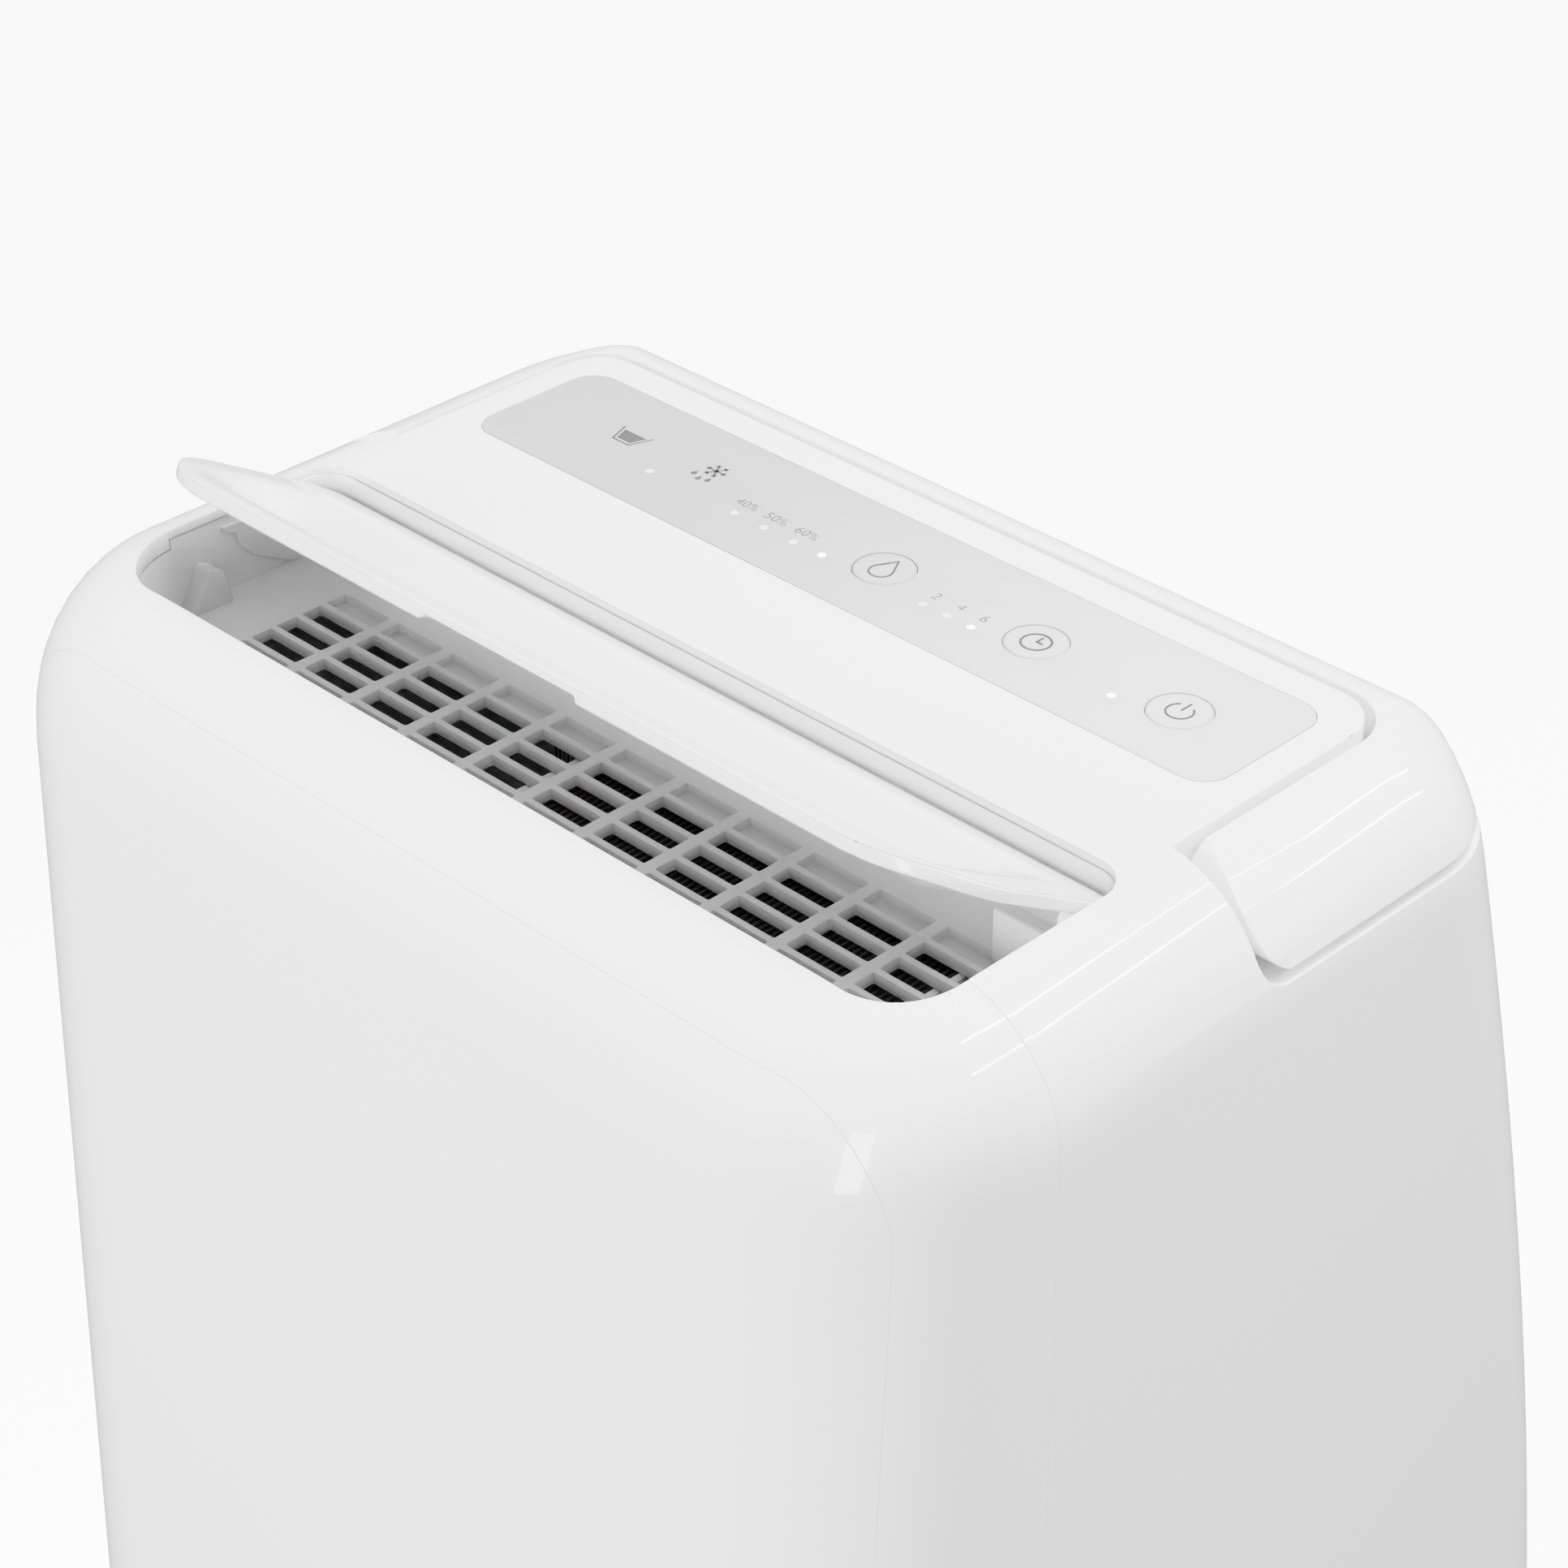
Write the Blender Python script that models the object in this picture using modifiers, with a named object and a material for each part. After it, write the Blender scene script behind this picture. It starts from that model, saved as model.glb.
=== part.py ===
"""Portable dehumidifier: cabinet, tilting louver, carry handle, tank, filter and the works inside.

Metres, +Z up. The front faces -Y and +X is the user's left-to-right direction seen from the front.
The origin is under the middle of the casing, on the floor. The louver is modelled standing open.
"""

import math

import bmesh
import bpy
from mathutils import Matrix, Vector

# ---------------------------------------------------------------- driving dimensions
DECK_Z = 0.560                # height of the flat control deck
BASE_Z = 0.018                # underside of the casing, above the floor
EDGE_R = 0.036                # radius along the two top side edges
FRONT_ROLL_R = 0.047          # radius along the top front edge
FRONT_CORNER_R = 0.0580       # plan radius of the front corners
REAR_CORNER_R = 0.0360        # plan radius of the rear corners
HALF_WIDTH = 0.1752           # half of the width just under the top radius
SIDE_TAPER = 0.0124           # each side runs out this much per metre downward
CONTROL_Y = 0.0260            # line of the push buttons
FRONT_Y = CONTROL_Y - 0.1748  # front face where it would meet the deck
FRONT_LEAN = 0.030            # the front runs forward this much per metre downward
BACK_Y = 0.1651               # rearmost plane of the casing, low down
BACK_STRAIGHT_Z = 0.130       # the back is upright below this height
BACK_BULGE = 0.0868           # how far the back comes forward at deck level
BACK_POWER = 1.5              # curve of the back
BACK_TOP_R = 0.019            # radius between the back and the deck
FOOT_R = 0.006                # radius round the casing's lower edge

SKIN = 0.0026                 # plastic wall
GAP = 0.0003                  # play left between fixed pieces that touch
PART_Y = CONTROL_Y - 0.1201   # parting plane of the front and rear casings

OUTLET_HALF_X = 0.1457
OUTLET_FRONT_Y = CONTROL_Y - 0.1412
OUTLET_BACK_Y = CONTROL_Y - 0.0637
OUTLET_FRONT_R = 0.020
OUTLET_BACK_R = 0.0094
GRILLE_Z = DECK_Z - 0.0254    # top of the outlet grille
GRILLE_T = 0.0036
SLOT_COLUMNS = 11
SLOT_ROWS = 5
SLOT_PITCH_X = 0.02254
SLOT_PITCH_Y = 0.0087
SLOT_FIRST_X = -0.1221        # left edge of the first slot column
SLOT_FIRST_Y = CONTROL_Y - 0.1242
BAR_X = 0.0038
BAR_Y = 0.0020

LOUVER_ANGLE = math.radians(31)
LOUVER_Y = CONTROL_Y - 0.0808
LOUVER_Z = DECK_Z - 0.0062
LOUVER_T = 0.0036
LOUVER_BACK_Y = OUTLET_BACK_Y - 0.0024
LOUVER_DISH = 0.0026
LOUVER_FRONT_R = 0.0300
NOTCH_HALF_X = 0.0270         # finger notch under the louver's front lip
NOTCH_DEPTH = 0.0060
NOTCH_SKIN = 0.0018
PIN_R = 0.0018

DECK_HALF_X = 0.1438          # the deck between the handle's arms
DECK_BACK_Y = CONTROL_Y + 0.0357
DECK_CORNER_R = 0.014
RECESS_FRONT_Y = CONTROL_Y - 0.0475
RECESS_Z = DECK_Z - 0.0291
RECESS_R = 0.0100
HANDLE_HALF_X = 0.1466
HANDLE_BACK_Y = CONTROL_Y + 0.0386
HANDLE_Z = DECK_Z - 0.0260
HANDLE_WALL = 0.0030
PIVOT_Y = CONTROL_Y - 0.0320
PIVOT_Z = DECK_Z - 0.0132
PIVOT_R = 0.0138
PIVOT_PIN_R = 0.0030

GLAND_CENTER = (-0.1600, BACK_Y - 0.0076, 0.0800)
DRAIN_CENTER = (-0.1500, BACK_Y - 0.0176, 0.2560)
SCREW_XZ = ((-0.1100, 0.2560), (0.1100, 0.2560), (-0.1100, 0.5040), (0.1100, 0.5040))

OVERLAY_HALF_X = 0.1342
OVERLAY_FRONT_Y = CONTROL_Y - 0.0228
OVERLAY_BACK_Y = CONTROL_Y + 0.0250
OVERLAY_R = 0.0085
OVERLAY_T = 0.0008
BUTTON_R = 0.0086
BUTTON_X = {"humidity_button": 0.0056, "timer_button": 0.0591, "power_button": 0.1067}

PANEL_HALF_X = 0.1593
PANEL_TOP_Z = DECK_Z - 0.0152
PANEL_BOTTOM_Z = 0.034
PANEL_R = 0.034
PANEL_T = 0.0024
FRONT_SKIN = 0.0056

TANK_HALF_X = 0.1495
TANK_FRONT_Y = 0.0130
TANK_Z = (0.0445, 0.2330)
TANK_WALL = 0.0030
FILTER_HALF_X = 0.1300
FILTER_Z = (0.2700, 0.4900)
SHELF_Z = 0.2480
FLOAT_PIN = (-0.1180, 0.0900, 0.2015)

CASTER_X = 0.1370
CASTER_Y = (-0.1100, 0.1150)
CASTER_WHEEL_R = 0.0125
CASTER_TRAIL = 0.0085

COMPRESSOR_XY = (-0.0850, -0.0740)
COMPRESSOR_R = 0.0560
BLOWER_XZ = (0.0200, 0.3600)
BLOWER_R = 0.0720

# ---------------------------------------------------------------- scene and collections


def start_scene():
    """Empty the scene and return the collections for parts and cutters."""
    for item in list(bpy.data.objects):
        bpy.data.objects.remove(item, do_unlink=True)
    found = []
    for name in ("dehumidifier", "cutters"):
        group = bpy.data.collections.new(name)
        bpy.context.scene.collection.children.link(group)
        found.append(group)
    return found


PARTS, CUTTERS = start_scene()


def material(name, color, roughness, metallic=0.0, alpha=1.0):
    """Return a Principled material."""
    made = bpy.data.materials.new(name)
    made.use_nodes = True
    shader = made.node_tree.nodes["Principled BSDF"]
    shader.inputs["Base Color"].default_value = (*color, 1.0)
    shader.inputs["Roughness"].default_value = roughness
    shader.inputs["Metallic"].default_value = metallic
    shader.inputs["Alpha"].default_value = alpha
    return made


GLOSS_WHITE = ("gloss white", (0.86, 0.86, 0.86), 0.18)
SATIN_WHITE = ("satin white", (0.78, 0.78, 0.78), 0.35)
OVERLAY_GREY = ("overlay grey", (0.66, 0.67, 0.68), 0.25)
INNER_GREY = ("inner grey", (0.55, 0.55, 0.55), 0.55)
BLACK_PLASTIC = ("black plastic", (0.015, 0.015, 0.016), 0.5)
SMOKE = ("smoke tank", (0.45, 0.55, 0.60), 0.2)
ZINC = ("zinc steel", (0.62, 0.62, 0.60), 0.4, 1.0)
BLACK_PAINT = ("black paint", (0.02, 0.02, 0.02), 0.35)
ALUMINIUM = ("aluminium", (0.80, 0.81, 0.82), 0.35, 1.0)
COPPER = ("copper", (0.72, 0.35, 0.20), 0.3, 1.0)
RUBBER = ("rubber", (0.03, 0.03, 0.03), 0.8)
BOARD_GREEN = ("board green", (0.02, 0.16, 0.06), 0.5)
MESH_GREY = ("filter grey", (0.12, 0.12, 0.13), 0.8)
FOAM_WHITE = ("foam white", (0.80, 0.80, 0.78), 0.8)

# ---------------------------------------------------------------- mesh helpers


def add_object(name, mesh, look=None):
    """Link a mesh as a part when it has a look, and as a hidden cutter when it has none."""
    item = bpy.data.objects.new(name, mesh)
    if look is None:
        CUTTERS.objects.link(item)
        item.hide_render = True
        item.display_type = "WIRE"
    else:
        PARTS.objects.link(item)
        made = material(name, *look[1:])
        mesh.materials.append(made)
    return item


def finish_bmesh(name, bm, look=None, smooth=False):
    """Turn a bmesh into an object with outward normals."""
    bmesh.ops.recalc_face_normals(bm, faces=bm.faces)
    mesh = bpy.data.meshes.new(name)
    bm.to_mesh(mesh)
    bm.free()
    if smooth:
        mesh.shade_smooth()
        mesh.set_sharp_from_angle(angle=math.radians(35))
    return add_object(name, mesh, look)


def box(name, low, high, look=None):
    """Return a box between two corners."""
    bm = bmesh.new()
    size = [b - a for a, b in zip(low, high)]
    middle = [(a + b) / 2 for a, b in zip(low, high)]
    placed = Matrix.Translation(middle) @ Matrix.Diagonal((*size, 1.0))
    bmesh.ops.create_cube(bm, size=1.0, matrix=placed)
    return finish_bmesh(name, bm, look)


AXIS_TURN = {
    "x": Matrix.Rotation(math.pi / 2, 4, "Y"),
    "y": Matrix.Rotation(-math.pi / 2, 4, "X"),
    "z": Matrix.Identity(4),
}


def cylinder(name, center, radius, length, axis="z", look=None, sides=24, top_radius=None):
    """Return a cylinder, or a cone when top_radius is given, with its middle at center."""
    bm = bmesh.new()
    bmesh.ops.create_cone(
        bm, cap_ends=True, segments=sides, radius1=radius,
        radius2=radius if top_radius is None else top_radius, depth=length,
        matrix=Matrix.Translation(center) @ AXIS_TURN[axis])
    return finish_bmesh(name, bm, look, smooth=True)


def prism(name, outline, low, high, axis="z", look=None):
    """Return a flat outline of 2D points extruded along an axis from low to high."""
    bm = bmesh.new()
    order = {"z": lambda p: (p[0], p[1], low), "y": lambda p: (p[0], low, p[1]),
             "x": lambda p: (low, p[0], p[1])}[axis]
    push = {"z": (0, 0, high - low), "y": (0, high - low, 0), "x": (high - low, 0, 0)}[axis]
    face = bm.faces.new([bm.verts.new(order(p)) for p in outline])
    grown = bmesh.ops.extrude_face_region(bm, geom=[face])
    tops = [v for v in grown["geom"] if isinstance(v, bmesh.types.BMVert)]
    bmesh.ops.translate(bm, verts=tops, vec=push)
    return finish_bmesh(name, bm, look)


def loft(name, rings, look=None):
    """Return a closed solid through rings of equally many 3D points, with flat ends."""
    bm = bmesh.new()
    rows = [[bm.verts.new(p) for p in ring] for ring in rings]
    count = len(rows[0])
    for lower, upper in zip(rows, rows[1:]):
        for i in range(count):
            j = (i + 1) % count
            bm.faces.new((lower[i], lower[j], upper[j], upper[i]))
    bm.faces.new(list(reversed(rows[0])))
    bm.faces.new(rows[-1])
    bmesh.ops.remove_doubles(bm, verts=bm.verts, dist=0.00001)
    bmesh.ops.dissolve_degenerate(bm, edges=bm.edges, dist=0.00001)
    return finish_bmesh(name, bm, look)


def tube(name, points, radius, look=None, sides=4):
    """Return a round tube along smoothed points, as a mesh with welded caps."""
    curve = bpy.data.curves.new(name, "CURVE")
    curve.dimensions = "3D"
    curve.bevel_depth = radius
    curve.bevel_resolution = max(0, sides // 2 - 1)
    curve.use_fill_caps = True
    line = curve.splines.new("POLY")
    line.points.add(len(points) - 1)
    for slot, point in zip(line.points, points):
        slot.co = (*point, 1.0)
    holder = bpy.data.objects.new(name + "_line", curve)
    CUTTERS.objects.link(holder)
    bpy.context.view_layer.update()
    shape = holder.evaluated_get(bpy.context.evaluated_depsgraph_get())
    mesh = bpy.data.meshes.new_from_object(shape)
    bm = bmesh.new()
    bm.from_mesh(mesh)
    bmesh.ops.remove_doubles(bm, verts=bm.verts, dist=0.00001)
    bpy.data.objects.remove(holder, do_unlink=True)
    return finish_bmesh(name, bm, look, smooth=True)


def rounded_path(corners, radius, steps=4):
    """Return a polyline with each inner corner replaced by an arc-like bend."""
    points = [Vector(corners[0])]
    for before, here, after in zip(corners, corners[1:], corners[2:]):
        before, here, after = Vector(before), Vector(here), Vector(after)
        reach = min(radius, (before - here).length / 2, (after - here).length / 2)
        start = here + (before - here).normalized() * reach
        end = here + (after - here).normalized() * reach
        for i in range(steps + 1):
            t = i / steps
            points.append(start * (1 - t) ** 2 + here * 2 * t * (1 - t) + end * t ** 2)
    points.append(Vector(corners[-1]))
    return points


def combine(target, other, operation="DIFFERENCE"):
    """Add an exact Boolean modifier to target."""
    step = target.modifiers.new(operation.lower(), "BOOLEAN")
    step.operation = operation
    step.solver = "EXACT"
    step.object = other
    return target


def cut(target, *cutters):
    """Cut each cutter from target."""
    for cutter in cutters:
        combine(target, cutter)
    return target


def join(target, *others):
    """Unite others with target."""
    for other in others:
        combine(target, other, "UNION")
    return target


def keep(target, other):
    """Keep what target and other share."""
    return combine(target, other, "INTERSECT")


def move_origin(item, origin):
    """Put an object's origin on a point, for instance on its joint, without moving its shape."""
    shift = Vector(origin) - item.location
    item.data.transform(Matrix.Translation(-shift))
    item.location = Vector(origin)
    return item


def rounded_outline(x0, x1, y0, y1, radii, steps=6):
    """Return a rectangle's outline with corner radii given for (x0,y0), (x1,y0), (x1,y1), (x0,y1)."""
    corners = ((x0, y0, 1, 1, 180), (x1, y0, -1, 1, 270), (x1, y1, -1, -1, 0), (x0, y1, 1, -1, 90))
    outline = []
    for (x, y, sx, sy, start), radius in zip(corners, radii):
        if radius <= 0:
            outline.append((x, y))
            continue
        for i in range(steps + 1):
            angle = math.radians(start + 90 * i / steps)
            center = (x + sx * radius, y + sy * radius)
            outline.append((center[0] + radius * math.cos(angle), center[1] + radius * math.sin(angle)))
    return outline


# ---------------------------------------------------------------- the casing's outer shape


def top_inset(z, radius, top):
    """Return how far the top radius pulls a wall in at height z."""
    rise = z - (top - radius)
    if rise <= 0:
        return 0.0
    return radius - math.sqrt(max(radius ** 2 - rise ** 2, 0.0))


def back_line(z):
    """Return the back's y at height z, before the radius at the top."""
    climb = max(z - BACK_STRAIGHT_Z, 0.0) / (DECK_Z - BACK_STRAIGHT_Z)
    return BACK_Y - BACK_BULGE * climb ** BACK_POWER


def back_blend():
    """Return the height and centre y where the back's top radius takes over from its curve."""
    slope = BACK_POWER * BACK_BULGE / (DECK_Z - BACK_STRAIGHT_Z)
    tilt = math.atan(slope)
    height = DECK_Z - BACK_TOP_R + BACK_TOP_R * math.sin(tilt)
    return height, back_line(height) - BACK_TOP_R * math.cos(tilt)


def section(z, inset, steps=5):
    """Return the casing's outline at height z, moved inward by inset."""
    top = DECK_Z - inset
    pull = top_inset(z, EDGE_R - inset, top)
    roll = top_inset(z, FRONT_ROLL_R - inset, top)
    foot = 0.0
    if z < BASE_Z + FOOT_R and inset <= 0:
        foot = FOOT_R - math.sqrt(max(FOOT_R ** 2 - (BASE_Z + FOOT_R - z) ** 2, 0.0))
    below = DECK_Z - z
    half = HALF_WIDTH + SIDE_TAPER * max(below - EDGE_R, 0.0) - inset - pull - foot
    front = FRONT_Y - FRONT_LEAN * below + inset + roll + foot
    blend_z, blend_y = back_blend()
    round_r = BACK_TOP_R - inset
    if z > blend_z - inset * 0.3:
        rise = min(z - (DECK_Z - BACK_TOP_R), round_r)
        back = blend_y + math.sqrt(max(round_r ** 2 - rise ** 2, 0.0))
    else:
        back = back_line(z) - inset * 1.03 - foot
    fore_x = FRONT_CORNER_R - inset - pull
    fore_y = FRONT_CORNER_R - inset - roll
    aft_x = REAR_CORNER_R - inset - pull
    aft_y = min(REAR_CORNER_R - inset, aft_x + REAR_CORNER_R / 2)
    outline = []
    spots = ((-half, front, 1, 1, 180, fore_x, fore_y), (half, front, -1, 1, 270, fore_x, fore_y),
             (half, back, -1, -1, 0, aft_x, aft_y), (-half, back, 1, -1, 90, aft_x, aft_y))
    for x, y, sx, sy, start, corner_x, corner_y in spots:
        for i in range(steps + 1):
            angle = math.radians(start + 90 * i / steps)
            outline.append((x + sx * corner_x + corner_x * math.cos(angle),
                            y + sy * corner_y + corner_y * math.sin(angle), z))
    return outline


def casing_solid(name, inset, low=None, steps=5, top_steps=5, look=None):
    """Return the casing's outer shape as one solid, moved inward by inset."""
    low = BASE_Z if low is None else low
    top = DECK_Z - inset
    radius = FRONT_ROLL_R - inset
    heights = [low]
    if inset <= 0:
        heights += [BASE_Z + FOOT_R * f for f in (0.3, 1.0)]
    heights += [0.130, 0.200, 0.265, 0.330, 0.395, 0.460]
    heights += [top - radius + radius * math.sin(math.pi / 2 * i / top_steps) for i in range(top_steps)]
    heights += [top]
    rings = [section(z, inset, steps) for z in sorted(heights)]
    return loft(name, rings, look)


FAR = 0.5


def region(name, x, y, z):
    """Return a cutter box from three (low, high) ranges."""
    return box(name, (x[0], y[0], z[0]), (x[1], y[1], z[1]))


# ---------------------------------------------------------------- casing pieces


def outlet_outline(grow=0.0):
    """Return the outline of the air outlet in the deck, made larger by grow."""
    return rounded_outline(
        -OUTLET_HALF_X - grow, OUTLET_HALF_X + grow, OUTLET_FRONT_Y - grow, OUTLET_BACK_Y + grow,
        (OUTLET_FRONT_R + grow, OUTLET_FRONT_R + grow, OUTLET_BACK_R + grow, OUTLET_BACK_R + grow))


def deck_island(name, shrink, low):
    """Return the block of deck that stays between the handle's arms."""
    outline = rounded_outline(
        -DECK_HALF_X + shrink, DECK_HALF_X - shrink, RECESS_FRONT_Y - 0.05, DECK_BACK_Y - shrink,
        (0, 0, DECK_CORNER_R - shrink, DECK_CORNER_R - shrink), steps=4)
    return prism(name, outline, low, DECK_Z + 0.02)


def handle_recess(name, grow):
    """Return the cutter for the U-shaped step that the carry handle folds into."""
    low = RECESS_Z - grow
    profile = rounded_outline(RECESS_FRONT_Y - grow, FAR, low, DECK_Z + 0.01, (RECESS_R + grow, 0, 0, 0), 4)
    step = prism(name, profile, -FAR, FAR, axis="x")
    return cut(step, deck_island(name + "_island", grow, low - 0.01))


def button_holes(name, radius, depth):
    """Return three cutters for the push buttons as one object."""
    bm = bmesh.new()
    for x in BUTTON_X.values():
        bmesh.ops.create_cone(
            bm, cap_ends=True, segments=24, radius1=radius, radius2=radius, depth=depth,
            matrix=Matrix.Translation((x, CONTROL_Y, DECK_Z)))
    return finish_bmesh(name, bm)


def overlay_outline(grow=0.0):
    """Return the control film's outline."""
    return rounded_outline(-OVERLAY_HALF_X - grow, OVERLAY_HALF_X + grow, OVERLAY_FRONT_Y - grow,
                           OVERLAY_BACK_Y + grow, (OVERLAY_R,) * 4, steps=4)


def make_cabinet():
    """Rear casing: deck, sides and back in one moulding, with its four openings."""
    shell = casing_solid("cabinet", 0.0, look=GLOSS_WHITE)
    core = casing_solid("cabinet_core", SKIN, low=BASE_Z - 0.01)
    cut(core, handle_recess("recess_inside", SKIN))
    cut(shell, handle_recess("recess_outside", 0.0), core)
    cut(shell, region("front_off", (-FAR, FAR), (-FAR, PART_Y), (-FAR, FAR + DECK_Z)))
    cut(shell, prism("outlet_cut", outlet_outline(), DECK_Z - 0.02, DECK_Z + 0.02))
    cut(shell, prism("overlay_seat", overlay_outline(GAP), DECK_Z - OVERLAY_T - GAP, DECK_Z + 0.01))
    cut(shell, button_holes("button_bores", BUTTON_R + 0.0005, 0.03))
    cut(shell, region("tank_mouth", (-TANK_HALF_X - 0.001, TANK_HALF_X + 0.001), (0.03, FAR),
                      (TANK_Z[0] - 0.001, TANK_Z[1] + 0.0060)))
    cut(shell, region("filter_mouth", (-FILTER_HALF_X - 0.0008, FILTER_HALF_X + 0.0008), (0.03, FAR),
                      (FILTER_Z[0] - 0.0008, FILTER_Z[1] + 0.0008)))
    bores = []
    for side in (-1, 1):
        bores.append(cylinder(f"pivot_bore_{side}", (side * (DECK_HALF_X - 0.001), PIVOT_Y, PIVOT_Z),
                              PIVOT_PIN_R + 0.0003, 0.012, "x"))
    bores.append(cylinder("gland_bore", GLAND_CENTER, 0.0063, 0.03, "y"))
    bores.append(cylinder("drain_bore", DRAIN_CENTER, 0.0083, 0.03, "y"))
    for i, (x, z) in enumerate(SCREW_XZ):
        bores.append(cylinder(f"screw_bore_{i + 1}", (x, back_line(z), z), 0.0041, 0.03, "y", None, 16))
    cut(shell, *bores)
    return shell


def panel_outline(grow=0.0):
    """Return the front panel's outline in the X-Z plane."""
    return rounded_outline(-PANEL_HALF_X - grow, PANEL_HALF_X + grow, PANEL_BOTTOM_Z - grow,
                           PANEL_TOP_Z + grow, (0.010, 0.010, PANEL_R + grow, PANEL_R + grow))


def make_front():
    """Front casing with the pocket for the front panel, and the panel itself."""
    shell = casing_solid("front_casing", 0.0, look=GLOSS_WHITE)
    core = casing_solid("front_core", FRONT_SKIN, low=BASE_Z - 0.01)
    cut(shell, core)
    cut(shell, region("rear_off", (-FAR, FAR), (PART_Y - GAP, FAR), (-FAR, FAR + DECK_Z)))
    pocket = prism("panel_pocket", panel_outline(GAP), -FAR, PART_Y - 0.012, axis="y")
    cut(pocket, casing_solid("pocket_core", PANEL_T + GAP, low=BASE_Z - 0.01))
    cut(shell, pocket)
    cut(shell, prism("outlet_cut_front", outlet_outline(), DECK_Z - 0.03, DECK_Z + 0.02))

    panel = prism("front_panel", panel_outline(), -FAR, PART_Y - 0.012, axis="y", look=GLOSS_WHITE)
    keep(panel, casing_solid("panel_face", 0.0))
    cut(panel, casing_solid("panel_back", PANEL_T, low=BASE_Z - 0.01))
    return shell, panel


def make_handle():
    """Carry handle: the rear top edge of the casing, as a U-shaped bail on two pivots."""
    bail = casing_solid("carry_handle", 0.0, look=GLOSS_WHITE)
    island = rounded_outline(-HANDLE_HALF_X, HANDLE_HALF_X, -FAR, HANDLE_BACK_Y,
                             (0, 0, DECK_CORNER_R + 0.003, DECK_CORNER_R + 0.003), steps=4)
    cut(bail, prism("bail_inside", island, -0.1, DECK_Z + 0.05))
    cut(bail, region("bail_below", (-FAR, FAR), (-FAR, FAR), (-0.1, HANDLE_Z)))
    front = region("bail_front", (-FAR, FAR), (-FAR, PIVOT_Y), (-0.1, DECK_Z + 0.1))
    cut(front, cylinder("bail_nose", (0, PIVOT_Y, PIVOT_Z), PIVOT_R, 1.0, "x", sides=48))
    cut(bail, front)

    hollow = casing_solid("bail_hollow", HANDLE_WALL)
    inner = rounded_outline(-HANDLE_HALF_X - HANDLE_WALL, HANDLE_HALF_X + HANDLE_WALL, -FAR,
                            HANDLE_BACK_Y + HANDLE_WALL,
                            (0, 0, DECK_CORNER_R + 0.006, DECK_CORNER_R + 0.006), steps=4)
    cut(hollow, prism("hollow_inside", inner, -0.1, DECK_Z + 0.05))
    cut(hollow, region("hollow_front", (-FAR, FAR), (-FAR, PIVOT_Y + 0.012), (-0.1, DECK_Z + 0.1)))
    cut(hollow, region("hollow_low", (-FAR, FAR), (-FAR, FAR), (-0.1, HANDLE_Z - 0.005)))
    cut(bail, hollow)
    for side in (-1, 1):
        join(bail, cylinder(f"pivot_pin_{side}", (side * (HANDLE_HALF_X - 0.0015), PIVOT_Y, PIVOT_Z),
                            PIVOT_PIN_R, 0.009, "x", sides=16))
    return bail


# ---------------------------------------------------------------- controls


def make_controls():
    """Control film, three push buttons and the board they press."""
    film = prism("control_overlay", overlay_outline(), DECK_Z - OVERLAY_T, DECK_Z, look=OVERLAY_GREY)
    cut(film, button_holes("film_holes", BUTTON_R + 0.0003, 0.03))
    for name, x in BUTTON_X.items():
        cap = cylinder(name, (x, CONTROL_Y, DECK_Z - 0.0025), BUTTON_R, 0.005, look=OVERLAY_GREY)
        join(cap, cylinder(name + "_skirt", (x, CONTROL_Y, DECK_Z - 0.0054), BUTTON_R + 0.0016, 0.001))
        join(cap, cylinder(name + "_stem", (x, CONTROL_Y, DECK_Z - 0.0070), 0.0020, 0.003, sides=12))
        move_origin(cap, (x, CONTROL_Y, DECK_Z))
    board = box("control_board", (-0.110, CONTROL_Y - 0.020, DECK_Z - 0.0152),
                (0.128, CONTROL_Y + 0.020, DECK_Z - 0.0136), BOARD_GREEN)
    for name, x in BUTTON_X.items():
        join(board, box(name + "_switch", (x - 0.003, CONTROL_Y - 0.003, DECK_Z - 0.0138),
                        (x + 0.003, CONTROL_Y + 0.003, DECK_Z - 0.0096)))
    return film


# ---------------------------------------------------------------- air outlet


def make_outlet():
    """Recessed tray under the deck's opening, with the slotted grille in its floor."""
    floor_z = GRILLE_Z - GRILLE_T
    tray = prism("outlet_grille", outlet_outline(0.0022), floor_z, DECK_Z, look=SATIN_WHITE)
    keep(tray, casing_solid("tray_ceiling", SKIN + GAP))
    thick = region("front_casing_room", (-FAR, FAR), (-FAR, PART_Y + GAP), (floor_z - 0.01, DECK_Z + 0.01))
    cut(thick, casing_solid("thick_ceiling", FRONT_SKIN + GAP))
    cut(tray, thick)
    cut(tray, prism("tray_hollow", outlet_outline(), GRILLE_Z, DECK_Z + 0.05))
    bm = bmesh.new()
    size = (SLOT_PITCH_X - BAR_X, SLOT_PITCH_Y - BAR_Y, GRILLE_T * 4)
    for column in range(SLOT_COLUMNS):
        for row in range(SLOT_ROWS):
            middle = (SLOT_FIRST_X + (column + 0.5) * SLOT_PITCH_X,
                      SLOT_FIRST_Y + (row + 0.5) * SLOT_PITCH_Y, GRILLE_Z)
            placed = Matrix.Translation(middle) @ Matrix.Diagonal((*size, 1.0))
            bmesh.ops.create_cube(bm, size=1.0, matrix=placed)
    cut(tray, finish_bmesh("grille_slots", bm))
    cut(tray, cylinder("louver_bore", (0, LOUVER_Y, LOUVER_Z), PIN_R + 0.0003, 0.4, "x", sides=16))
    return tray


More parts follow.
